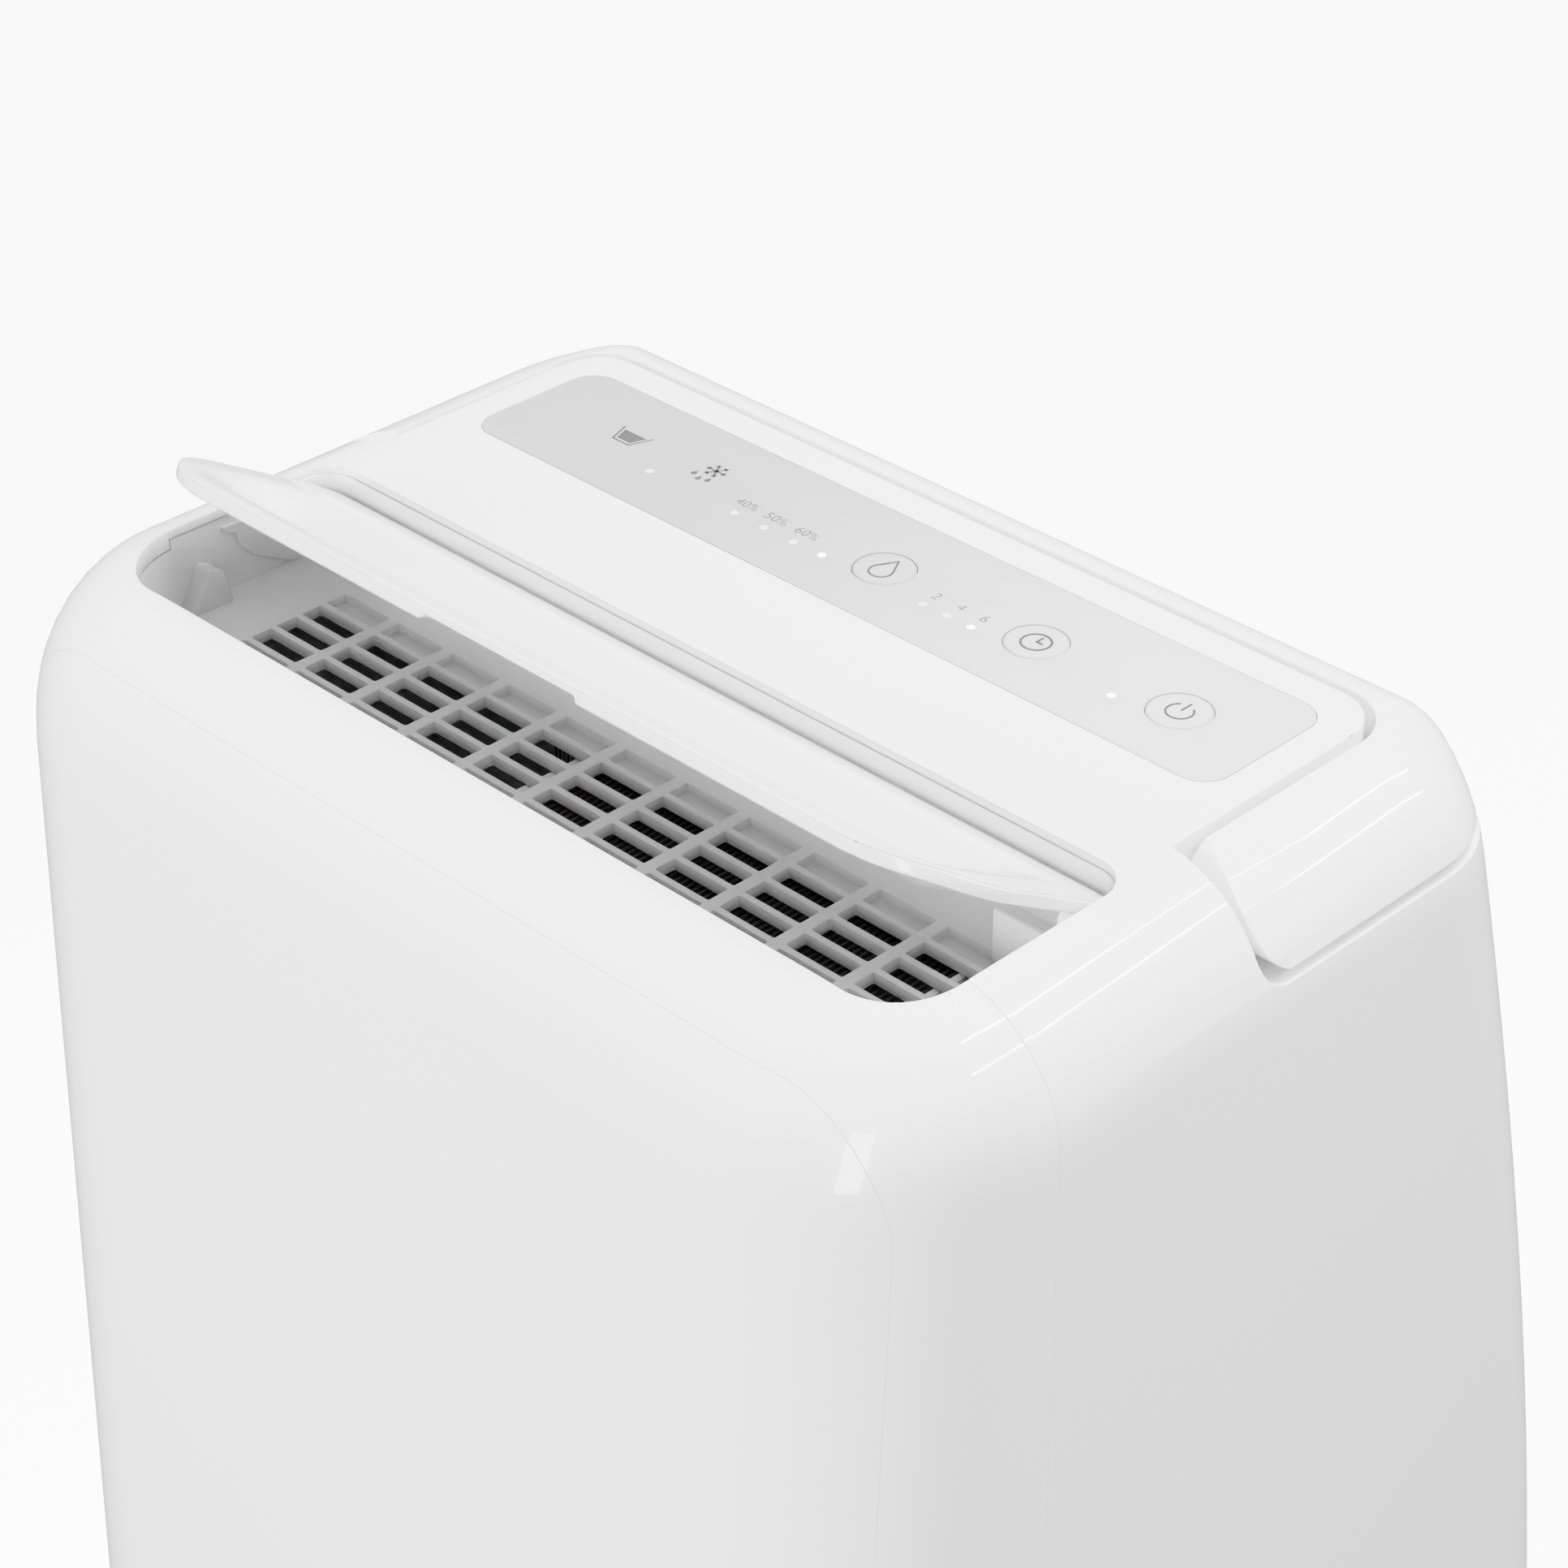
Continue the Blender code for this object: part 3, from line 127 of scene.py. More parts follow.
class Shader:
    """A Principled material under construction."""

    def __init__(self, name: str) -> None:
        """Start a material with its Principled shader."""
        self.material = bpy.data.materials.new(name)
        self.material.use_nodes = True
        self.tree = self.material.node_tree
        self.surface = self.tree.nodes["Principled BSDF"]

    def node(self, kind: str, settings: dict | None = None, sockets: dict | None = None) -> bpy.types.Node:
        """Add a node.

        Args:
            kind: the node's type.
            settings: its properties, which are set first.
            sockets: values or wires for its inputs, by name or index.

        Returns:
            The node.
        """
        made = self.tree.nodes.new(kind)
        for key, value in (settings or {}).items():
            setattr(made, key, value)
        for key, value in (sockets or {}).items():
            self.feed(made.inputs[key], value)
        return made

    def feed(self, slot: bpy.types.NodeSocket, value: object) -> None:
        """Link a wire or socket to an input, or set the input's own value.

        Args:
            slot: The input.
            value: A wire, a socket or a plain value.
        """
        if isinstance(value, Wire):
            self.tree.links.new(value.socket, slot)
        elif isinstance(value, bpy.types.NodeSocket):
            self.tree.links.new(value, slot)
        else:
            slot.default_value = value

    def wire(self, socket: bpy.types.NodeSocket) -> Wire:
        """Wrap a socket of this material."""
        return Wire(self.tree, socket)

    def place(self) -> bpy.types.NodeSocket:
        """Return the piece's own coordinates."""
        return self.node("ShaderNodeTexCoord").outputs["Object"]

    def axes(self) -> tuple[Wire, Wire, Wire]:
        """Return the piece's own coordinates as three wires."""
        split = self.node("ShaderNodeSeparateXYZ", sockets={0: self.place()})
        return tuple(self.wire(split.outputs[i]) for i in range(3))

    def noise(self, scale: float, detail: float = 3.0, stretch: Point3 = (1, 1, 1)) -> Wire:
        """Return fractal noise from 0 to 1, fixed to the piece."""
        mapped = self.node("ShaderNodeMapping", sockets={"Vector": self.place(), "Scale": stretch})
        found = self.node("ShaderNodeTexNoise", sockets={
            "Vector": mapped.outputs[0], "Scale": scale, "Detail": detail})
        return self.wire(found.outputs[0])

    def band(self, value: Wire, low: float, high: float) -> Wire:
        """Return a smooth 0 to 1 step of a value between low and high."""
        step = self.node("ShaderNodeMapRange", {"interpolation_type": "SMOOTHSTEP"}, {
            0: value, 1: low, 2: high, 3: 0.0, 4: 1.0})
        return self.wire(step.outputs[0])

    def mix(self, share: Wire, low: Sequence[float], high: Sequence[float]) -> bpy.types.NodeSocket:
        """Return a colour between two colours."""
        blend = self.node("ShaderNodeMix", {"data_type": "RGBA"}, {
            0: share, 6: (*low, 1.0), 7: (*high, 1.0)})
        return blend.outputs[2]

    def bump(self, height: Wire, strength: float, distance: float) -> None:
        """Raise the surface by a height, in metres at full strength."""
        lift = self.node("ShaderNodeBump", sockets={
            "Strength": strength, "Distance": distance, "Height": height})
        self.feed(self.surface.inputs["Normal"], lift.outputs[0])

    def fix(self, **values: object) -> None:
        """Set or link sockets of the shader; an underscore stands for a space."""
        for key, value in values.items():
            self.feed(self.surface.inputs[key.replace("_", " ")], value)


def shade(color: Sequence[float], factor: float) -> tuple[float, ...]:
    """Return a colour made lighter or darker, at most white."""
    return tuple(min(1.0, part * factor) for part in color)


# ---------------------------------------------------------------- finishes


@dataclass(frozen=True)
class Moulding:
    """Injection-moulded plastic: even colour, faint flow variation and a fine skin."""

    name: str
    slot: str
    color: Point3
    roughness: float
    coat: float = 0.0
    grain: float = 900.0
    relief: float = 0.02
    depth: float = 0.00004

    def make(self) -> bpy.types.Material:
        """Build the finish's nodes.

        Returns:
            The material.
        """
        shader = Shader(self.name)
        flow = shader.noise(7.0, 2.0)
        skin = shader.noise(self.grain, 2.0)
        tone = shader.mix(shader.band(flow, 0.3, 0.7), shade(self.color, 0.992), shade(self.color, 1.008))
        polish = self.roughness * 0.93 + flow * (self.roughness * 0.14)
        shader.fix(Base_Color=tone, Roughness=polish, Coat_Weight=self.coat, Coat_Roughness=0.03)
        shader.bump(skin, self.relief, self.depth)
        return shader.material


@dataclass(frozen=True)
class PrintedFilm:
    """Matt grey film whose print lightens toward its right-hand end."""

    name: str
    slot: str
    left: Point3
    right: Point3
    roughness: float
    reach: float = 0.13

    def make(self) -> bpy.types.Material:
        """Build the finish's nodes.

        Returns:
            The material.
        """
        shader = Shader(self.name)
        across = shader.axes()[0]
        fleck = shader.noise(2600.0, 1.0)
        tone = shader.mix(shader.band(across, -self.reach * 0.5, self.reach), self.left, self.right)
        shader.fix(Base_Color=tone, Roughness=self.roughness * 0.95 + fleck * (self.roughness * 0.1))
        shader.bump(fleck, 0.02, 0.00002)
        return shader.material


@dataclass(frozen=True)
class Lamp:
    """Lit or unlit window of an indicator lamp."""

    name: str
    slot: str
    color: Point3
    glow: float

    def make(self) -> bpy.types.Material:
        """Build the finish's nodes.

        Returns:
            The material.
        """
        shader = Shader(self.name)
        cloud = shader.noise(1500.0, 1.0)
        tone = shader.mix(cloud, shade(self.color, 0.97), self.color)
        shader.fix(Base_Color=tone, Roughness=0.4, Emission_Color=tone, Emission_Strength=self.glow)
        return shader.material


@dataclass(frozen=True)
class Metal:
    """Bare or plated metal with a drawn or brushed direction."""

    name: str
    slot: str
    color: Point3
    roughness: float
    along: Point3 = (1, 1, 30)

    def make(self) -> bpy.types.Material:
        """Build the finish's nodes.

        Returns:
            The material.
        """
        shader = Shader(self.name)
        brush = shader.noise(160.0, 3.0, self.along)
        tone = shader.mix(brush, shade(self.color, 0.88), shade(self.color, 1.06))
        shader.fix(Base_Color=tone, Roughness=self.roughness * 0.8 + brush * (self.roughness * 0.4),
                   Metallic=1.0)
        shader.bump(brush, 0.05, 0.00005)
        return shader.material


@dataclass(frozen=True)
class FinPack:
    """Thin aluminium fins seen edge on, standing side by side along X, with painted shade darkening the gaps
    between them.
    """

    name: str
    slot: str
    color: Point3
    pitch: float = 0.0018

    def make(self) -> bpy.types.Material:
        """Build the finish's nodes.

        Returns:
            The material.
        """
        shader = Shader(self.name)
        wave = shader.node("ShaderNodeTexWave", {"wave_type": "BANDS", "bands_direction": "X"}, {
            "Vector": shader.place(), "Scale": math.pi / 10 / self.pitch})
        fins = shader.wire(wave.outputs["Fac"])
        # painted shade: the gaps between the fins are darkened to a quarter of the fin colour, where shade
        # would fall between them
        tone = shader.mix(fins, shade(self.color, 0.25), self.color)
        shader.fix(Base_Color=tone, Roughness=0.35 + fins * 0.1, Metallic=1.0)
        shader.bump(fins, 0.6, 0.0006)
        return shader.material


@dataclass(frozen=True)
class Net:
    """Woven nylon net of square meshes."""

    name: str
    slot: str
    color: Point3
    pitch: float = 0.0012

    def make(self) -> bpy.types.Material:
        """Build the finish's nodes.

        Returns:
            The material.
        """
        shader = Shader(self.name)
        threads = []
        for direction in ("X", "Z"):
            wave = shader.node("ShaderNodeTexWave", {"wave_type": "BANDS", "bands_direction": direction}, {
                "Vector": shader.place(), "Scale": math.pi / 10 / self.pitch})
            threads.append(shader.wire(wave.outputs["Fac"]).power(2.0))
        weave = threads[0] + threads[1] - threads[0] * threads[1]
        tone = shader.mix(weave, shade(self.color, 0.15), self.color)
        shader.fix(Base_Color=tone, Roughness=0.75, Alpha=shader.band(weave, 0.1, 0.3) * 0.6 + 0.4)
        shader.bump(weave, 0.7, 0.0004)
        return shader.material


@dataclass(frozen=True)
class SmokeClear:
    """Smoky see-through tank plastic."""

    name: str
    slot: str
    color: Point3

    def make(self) -> bpy.types.Material:
        """Build the finish's nodes.

        Returns:
            The material.
        """
        shader = Shader(self.name)
        frost = shader.noise(500.0, 2.0)
        tone = shader.mix(frost, shade(self.color, 0.97), self.color)
        shader.fix(Base_Color=tone, Roughness=0.14 + frost * 0.06, IOR=1.5, Transmission_Weight=0.55)
        shader.bump(frost, 0.03, 0.00004)
        return shader.material


class Look(Enum):
    """The finishes of the machine."""

    CASING = Moulding("casing_white", "gloss_white", (0.88, 0.88, 0.882), 0.26, coat=1.0)
    PANEL = Moulding("panel_white", "gloss_white", (0.88, 0.88, 0.882), 0.22, coat=1.0)
    # painted shade: the white tray, its hinge plates and its air guide are coloured mid grey so that the
    # sunken recess looks shaded
    TRAY = Moulding("tray_white_painted_shade", "satin_white", (0.47, 0.47, 0.472), 0.42, relief=0.05)
    GRILLE = Moulding("intake_white", "satin_white", (0.80, 0.80, 0.80), 0.42, relief=0.05)
    FILM = PrintedFilm("film_grey", "overlay_film", (0.29, 0.29, 0.293), (0.51, 0.51, 0.513), 0.42)
    INK = Moulding("ink_grey", "overlay_film", (0.045, 0.045, 0.046), 0.6, relief=0.01)
    LAMP_ON = Lamp("lamp_lit", "overlay_film", (1.0, 1.0, 1.0), 6.0)
    LAMP_OFF = Lamp("lamp_unlit", "overlay_film", (0.72, 0.72, 0.725), 0.0)
    INNER = Moulding("inner_grey", "inner_grey", (0.42, 0.42, 0.43), 0.55, relief=0.12)
    BLACK = Moulding("black_plastic", "black_plastic", (0.012, 0.012, 0.013), 0.45, relief=0.1)
    TANK = SmokeClear("smoke_tank", "tank_plastic", (0.52, 0.60, 0.64))
    ZINC = Metal("zinc_plate", "zinc_steel", (0.62, 0.62, 0.60), 0.38)
    PAINT = Moulding("black_paint", "black_paint", (0.015, 0.015, 0.015), 0.22, coat=0.6, relief=0.04)
    # the fin finish carries painted shade in the gaps between the fins
    FINS = FinPack("coil_fins_painted_gap_shade", "fin_aluminium", (0.82, 0.83, 0.84))
    CAN = Metal("drawn_can", "fin_aluminium", (0.82, 0.83, 0.84), 0.3)
    COPPER = Metal("copper_tube", "copper", (0.78, 0.38, 0.22), 0.28)
    RUBBER = Moulding("rubber", "rubber", (0.022, 0.022, 0.023), 0.8, relief=0.25)
    BOARD = Moulding("board_green", "circuit_board", (0.02, 0.15, 0.06), 0.4, relief=0.1)
    NET = Net("filter_net", "filter_mesh", (0.05, 0.05, 0.055))
    FOAM = Moulding("foam_white", "foam_white", (0.80, 0.80, 0.78), 0.85, grain=1600.0, relief=0.4)

    def material(self) -> bpy.types.Material:
        """Return this finish's material, made once."""
        return bpy.data.materials.get(self.value.name) or self.value.make()


# ---------------------------------------------------------------- mesh workshop


def wrap(name: str, bm: bmesh.types.BMesh) -> bpy.types.Object:
    """Turn a bmesh into an object at the world's origin, with its faces pointing outwards.

    Args:
        name: What the new object is called.
        bm: The finished mesh data, which is freed.

    Returns:
        The new object.
    """
    bmesh.ops.recalc_face_normals(bm, faces=bm.faces)
    mesh = bpy.data.meshes.new(name)
    bm.to_mesh(mesh)
    bm.free()
    made = bpy.data.objects.new(name, mesh)
    bpy.context.scene.collection.objects.link(made)
    return made


def extrude_through(name: str, rings: Sequence[Sequence[Vector]]) -> bpy.types.Object:
    """Push a flat face through a row of equally long outlines, as one closed solid.

    Args:
        name: the object's name.
        rings: outlines, each a list of points in the same order.

    Returns:
        The solid.
    """
    bm = bmesh.new()
    ring = [bm.verts.new(point) for point in rings[0]]
    bm.faces.new(ring)
    for outline in rings[1:]:
        edges = [bm.edges.get(pair) for pair in zip(ring, ring[1:] + ring[:1])]
        grown = bmesh.ops.extrude_edge_only(bm, edges=edges)["geom"]
        fresh = {part for part in grown if isinstance(part, bmesh.types.BMVert)}
        ring = [next(edge.other_vert(vert) for edge in vert.link_edges if edge.other_vert(vert) in fresh)
                for vert in ring]
        for vert, point in zip(ring, outline):
            vert.co = point
    bm.faces.new(ring)
    bmesh.ops.remove_doubles(bm, verts=bm.verts, dist=WELD)
    bmesh.ops.dissolve_degenerate(bm, edges=bm.edges, dist=WELD)
    return wrap(name, bm)


def box(name: str, low: Point3, high: Point3) -> bpy.types.Object:
    """Return a box between two corners.

    Args:
        name: What the new object is called.
        low: The lowest corner.
        high: The highest corner.

    Returns:
        The box.
    """
    bm = bmesh.new()
    size = Vector(high) - Vector(low)
    middle = (Vector(high) + Vector(low)) / 2
    bmesh.ops.create_cube(bm, size=1.0, matrix=Matrix.Translation(middle) @ Matrix.Diagonal((*size, 1.0)))
    return wrap(name, bm)


class Axis(Enum):
    """Direction of a turned or extruded piece."""

    X = Matrix(((0, 0, 1, 0), (1, 0, 0, 0), (0, 1, 0, 0), (0, 0, 0, 1)))
    Y = Matrix(((1, 0, 0, 0), (0, 0, 1, 0), (0, 1, 0, 0), (0, 0, 0, 1)))
    Z = Matrix.Identity(4)


def prism(name: str, outline: Sequence[Point2], low: float, high: float,
          axis: Axis = Axis.Z) -> bpy.types.Object:
    """Return a flat outline pushed along an axis from low to high.

    Args:
        name: the object's name.
        outline: points in the two other axes, in X, Y, Z order.
        low: where the push starts.
        high: where it ends.
        axis: the direction of the push.

    Returns:
        The solid.
    """
    rings = [[axis.value @ Vector((u, v, level)) for u, v in outline] for level in (low, high)]
    return extrude_through(name, rings)


def turned(name: str, center: Point3, profile: Sequence[Point2], axis: Axis = Axis.Z,
           steps: int = 48) -> bpy.types.Object:
    """Spin a profile of (radius, height) points round an axis through center.

    Args:
        name: the object's name.
        center: the point on the axis that heights count from.
        profile: points that start and end on the axis, or a closed loop when both ends are off it.
        axis: the axis of the spin.
        steps: how many facets go round.

    Returns:
        The solid.
    """
    bm = bmesh.new()
    verts = [bm.verts.new((radius, 0.0, height)) for radius, height in profile]
    edges = [bm.edges.new(pair) for pair in zip(verts, verts[1:])]
    if profile[0][0] > 0 and profile[-1][0] > 0:
        edges.append(bm.edges.new((verts[-1], verts[0])))
    bmesh.ops.spin(bm, geom=verts + edges, axis=(0, 0, 1), cent=(0, 0, 0), angle=math.tau,
                   steps=steps, use_merge=True)
    bmesh.ops.remove_doubles(bm, verts=bm.verts, dist=0.000002)
    bmesh.ops.transform(bm, matrix=Matrix.Translation(center) @ axis.value, verts=bm.verts)
    return wrap(name, bm)


def drum(name: str, center: Point3, radius: float, length: float, axis: Axis = Axis.Z,
         edge: float = 0.0, steps: int = 48) -> bpy.types.Object:
    """Return a cylinder with its middle at center and, if asked, rounded rims.

    Args:
        name: What the new object is called.
        center: The middle of the cylinder.
        radius: Its radius.
        length: Its length along the axis.
        axis: The direction of its length.
        edge: The radius of its rims, or 0 for sharp ones.
        steps: How many sides it has.

    Returns:
        The cylinder.
    """
    half = length / 2
    profile = [(0.0, -half)]
    if edge > 0:
        for sign in (-1, 1):
            for i in range(5):
                angle = math.radians(22.5 * (i if sign < 0 else 4 - i))
                profile.append((radius - edge + edge * math.sin(angle),
                                sign * (half - edge + edge * math.cos(angle))))
    else:
        profile += [(radius, -half), (radius, half)]
    profile.append((0.0, half))
    return turned(name, center, profile, axis, steps)


def rounded(x0: float, x1: float, y0: float, y1: float, radii: Sequence[float],
            steps: int = 12) -> list[Point2]:
    """Return a rectangle's outline with a radius at (x0,y0), (x1,y0), (x1,y1) and (x0,y1).

    Args:
        x0: The left side.
        x1: The right side.
        y0: The lower side.
        y1: The upper side.
        radii: The four corner radii, in the order above.
        steps: How many points each quarter turn has.

    Returns:
        The outline's points, in order.
    """
    outline = []
    spots = ((x0, y0, 1, 1, 180), (x1, y0, -1, 1, 270), (x1, y1, -1, -1, 0), (x0, y1, 1, -1, 90))
    for (x, y, sx, sy, start), radius in zip(spots, radii):
        count = steps if radius > 0 else 0
        for i in range(count + 1):
            angle = math.radians(start + 90 * i / max(count, 1))
            outline.append((x + radius * (sx + math.cos(angle)), y + radius * (sy + math.sin(angle))))
    return outline


def settle(item: bpy.types.Object) -> bpy.types.Object:
    """Apply an object's modifiers to its mesh.

    Args:
        item: The object to finish.

    Returns:
        The same object.
    """
    bpy.context.view_layer.update()
    shape = item.evaluated_get(bpy.context.evaluated_depsgraph_get())
    mesh = bpy.data.meshes.new_from_object(shape)
    item.modifiers.clear()
    item.data = mesh
    return item


def combine(item: bpy.types.Object, operation: str, others: Iterable[bpy.types.Object]) -> bpy.types.Object:
    """Apply one exact Boolean with each other solid, and remove those solids.

    Args:
        item: The solid that is changed.
        operation: The Boolean's kind.
        others: The solids that change it.

    Returns:
        The same solid.
    """
    others = list(others)
    for other in others:
        step = item.modifiers.new(operation.lower(), "BOOLEAN")
        step.operation = operation
        step.solver = "EXACT"
        step.object = other
    settle(item)
    for other in others:
        bpy.data.objects.remove(other, do_unlink=True)
    return item


def cut(item: bpy.types.Object, *others: bpy.types.Object) -> bpy.types.Object:
    """Cut the others from item."""
    return combine(item, "DIFFERENCE", others)


def join(item: bpy.types.Object, *others: bpy.types.Object) -> bpy.types.Object:
    """Unite the others with item."""
    return combine(item, "UNION", others)


def keep(item: bpy.types.Object, *others: bpy.types.Object) -> bpy.types.Object:
    """Keep what item shares with each of the others."""
    return combine(item, "INTERSECT", others)


def soften(item: bpy.types.Object, width: float, segments: int = 2, angle: float = 40.0) -> bpy.types.Object:
    """Round a solid's sharp edges and shade it smooth between them.

    Args:
        item: The solid.
        width: How wide the rounding is.
        segments: How many steps it has.
        angle: The smallest angle, in degrees, that counts as an edge.

    Returns:
        The same solid.
    """
    step = item.modifiers.new("edges", "BEVEL")
    step.width = width
    step.segments = segments
    step.limit_method = "ANGLE"
    step.angle_limit = math.radians(angle)
    step.use_clamp_overlap = False
    settle(item)
    item.data.shade_smooth()
    item.data.set_sharp_from_angle(angle=math.radians(angle))
    return item


def match_surface(item: bpy.types.Object, *references: bpy.types.Object) -> bpy.types.Object:
    """Give faces that lie on a reference surface that surface's own smooth normals.

    Args:
        item: a solid that was cut from the references.
        references: uncut solids, which are removed afterwards.

    Returns:
        The item.
    """
    mesh = item.data
    normals = [corner.vector.copy() for corner in mesh.corner_normals]
    for reference in references:
        source = reference.data
        tree = BVHTree.FromPolygons([v.co for v in source.vertices], [p.vertices for p in source.polygons])
        smooth = [v.vector for v in source.vertex_normals]
        for polygon in mesh.polygons:
            spot, facing, index, far = tree.find_nearest(polygon.center)
            aligned = far < NEAR_SURFACE and facing.dot(polygon.normal) > SAME_WAY
            if not aligned and (far > NEAR_SURFACE or any(
                    tree.find_nearest(mesh.vertices[v].co)[3] > ON_SURFACE for v in polygon.vertices)):
                continue
            for loop in polygon.loop_indices:
                place = mesh.vertices[mesh.loops[loop].vertex_index].co
                spot, facing, index, far = tree.find_nearest(place)
                corners = source.polygons[index].vertices
                weights = [1.0 / (0.00001 + (source.vertices[c].co - place).length) ** 2 for c in corners]
                if far < NEAR_SURFACE:
                    normals[loop] = sum((smooth[c] * w for c, w in zip(corners, weights)),
                                        Vector()).normalized()
        bpy.data.objects.remove(reference, do_unlink=True)
    mesh.normals_split_custom_set(normals)
    return item


def dress(item: bpy.types.Object, look: Look, body: str, *nodes: str) -> bpy.types.Object:
    """Give a piece its finish, put it on its body and hide the solids that it stands for.

    Args:
        item: The piece.
        look: Its finish.
        body: The body that it moves with.
        nodes: The solids that it stands for.

    Returns:
        The same piece.
    """
    item.data.materials.clear()
    item.data.materials.append(look.material())
    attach(item, body)
    if nodes:
        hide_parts(*nodes)
    LOG.info("%s rides on %s, %d faces", item.name, body, len(item.data.polygons))
    return item


# ---------------------------------------------------------------- the casing's form


FAR = 0.5
Z_ROOM = 0.05


@dataclass(frozen=True)
class CasingForm:
    """Outer shape shared by the cabinet, the front casing, its panel, the handle and the tank."""

    deck_z: float
    control_y: float
    height: float = 0.542
    edge_r: float = 0.036
    front_roll_r: float = 0.047
    front_corner_r: float = 0.058
    rear_corner_r: float = 0.036
    half_width: float = 0.1752
    side_taper: float = 0.0124
    front_reach: float = 0.1748
    front_lean: float = 0.030
    back_y: float = 0.1651
    back_straight_z: float = 0.130
    back_bulge: float = 0.0868
    back_power: float = 1.5
    back_top_r: float = 0.019
    foot_r: float = 0.006
    part_reach: float = 0.1201
    gap: float = 0.0003
    skin: float = 0.0026
    front_skin: float = 0.0056
    arc_steps: int = 14

    @property
    def base_z(self) -> float:
        """Height of the casing's lower rim."""
        return self.deck_z - self.height

    @property
    def front_y(self) -> float:
        """Foremost y at the deck's level, before the roll."""
        return self.control_y - self.front_reach

    @property
    def part_y(self) -> float:
        """Plane where the front casing meets the cabinet."""
        return self.control_y - self.part_reach

    def top_inset(self, z: float, radius: float, top: float) -> float:
        """Return how far the top radius pulls a wall in at height z."""
        rise = z - (top - radius)
        return 0.0 if rise <= 0 else radius - math.sqrt(max(radius ** 2 - rise ** 2, 0.0))

    def back_line(self, z: float) -> float:
        """Return the back's y at height z, before the radius at the top."""
        climb = max(z - self.back_straight_z, 0.0) / (self.deck_z - self.back_straight_z)
        return self.back_y - self.back_bulge * climb ** self.back_power

    def back_blend(self) -> Point2:
        """Return the height and centre y where the back's top radius takes over from its curve.

        Returns:
            The height and the centre's y.
        """
        slope = self.back_power * self.back_bulge / (self.deck_z - self.back_straight_z)
        tilt = math.atan(slope)
        height = self.deck_z - self.back_top_r + self.back_top_r * math.sin(tilt)
        return height, self.back_line(height) - self.back_top_r * math.cos(tilt)

    def section(self, z: float, inset: float) -> list[Vector]:
        """Return the outline at height z, moved inward by inset.

        Args:
            z: The height of the outline.
            inset: How far it lies inside the outer surface.

        Returns:
            The outline's points, in order.
        """
        top = self.deck_z - inset
        pull = self.top_inset(z, self.edge_r - inset, top)
        roll = self.top_inset(z, self.front_roll_r - inset, top)
        foot = 0.0
        if z < self.base_z + self.foot_r and inset <= 0:
            foot = self.foot_r - math.sqrt(max(self.foot_r ** 2 - (self.base_z + self.foot_r - z) ** 2, 0.0))
        below = self.deck_z - z
        half = self.half_width + self.side_taper * max(below - self.edge_r, 0.0) - inset - pull - foot
        front = self.front_y - self.front_lean * below + inset + roll + foot
        blend_z, blend_y = self.back_blend()
        round_r = self.back_top_r - inset
        if z > blend_z - inset * 0.3:
            rise = min(z - (self.deck_z - self.back_top_r), round_r)
            back = blend_y + math.sqrt(max(round_r ** 2 - rise ** 2, 0.0))
        else:
            back = self.back_line(z) - inset * 1.03 - foot
        fore_x, fore_y = (self.front_corner_r - inset - part for part in (pull, roll))
        aft_x = self.rear_corner_r - inset - pull
        aft_y = min(self.rear_corner_r - inset, aft_x + self.rear_corner_r / 2)
        spots = ((-half, front, 1, 1, 180, fore_x, fore_y), (half, front, -1, 1, 270, fore_x, fore_y),
                 (half, back, -1, -1, 0, aft_x, aft_y), (-half, back, 1, -1, 90, aft_x, aft_y))
        outline = []
        for x, y, sx, sy, start, corner_x, corner_y in spots:
            for i in range(self.arc_steps + 1):
                angle = math.radians(start + 90 * i / self.arc_steps)
                outline.append(Vector((x + corner_x * (sx + math.cos(angle)),
                                       y + corner_y * (sy + math.sin(angle)), z)))
        return outline

    def solid(self, name: str, inset: float = 0.0, low: float | None = None) -> bpy.types.Object:
        """Return the whole form as one closed solid, moved inward by inset.

        Args:
            name: the object's name.
            inset: how far every face is moved inward.
            low: its lower end, if not the casing's own.

        Returns:
            The solid.
        """
        top = self.deck_z - inset
        radius = self.front_roll_r - inset
        heights = [self.base_z if low is None else low]
        if inset <= 0:
            heights += [self.base_z + self.foot_r * share for share in (0.08, 0.3, 0.6, 1.0)]
        heights += [0.130 + 0.0275 * i for i in range(14)]
        heights += [top - radius + radius * math.sin(math.pi / 2 * i / self.arc_steps)
                    for i in range(self.arc_steps)] + [top]
        return extrude_through(name, [self.section(z, inset) for z in sorted(heights)])

    def slice(self, name: str, x: Point2, y: Point2, z: Point2) -> bpy.types.Object:
        """Return a box from three (low, high) ranges."""
        return box(name, (x[0], y[0], z[0]), (x[1], y[1], z[1]))


# ---------------------------------------------------------------- mouldings


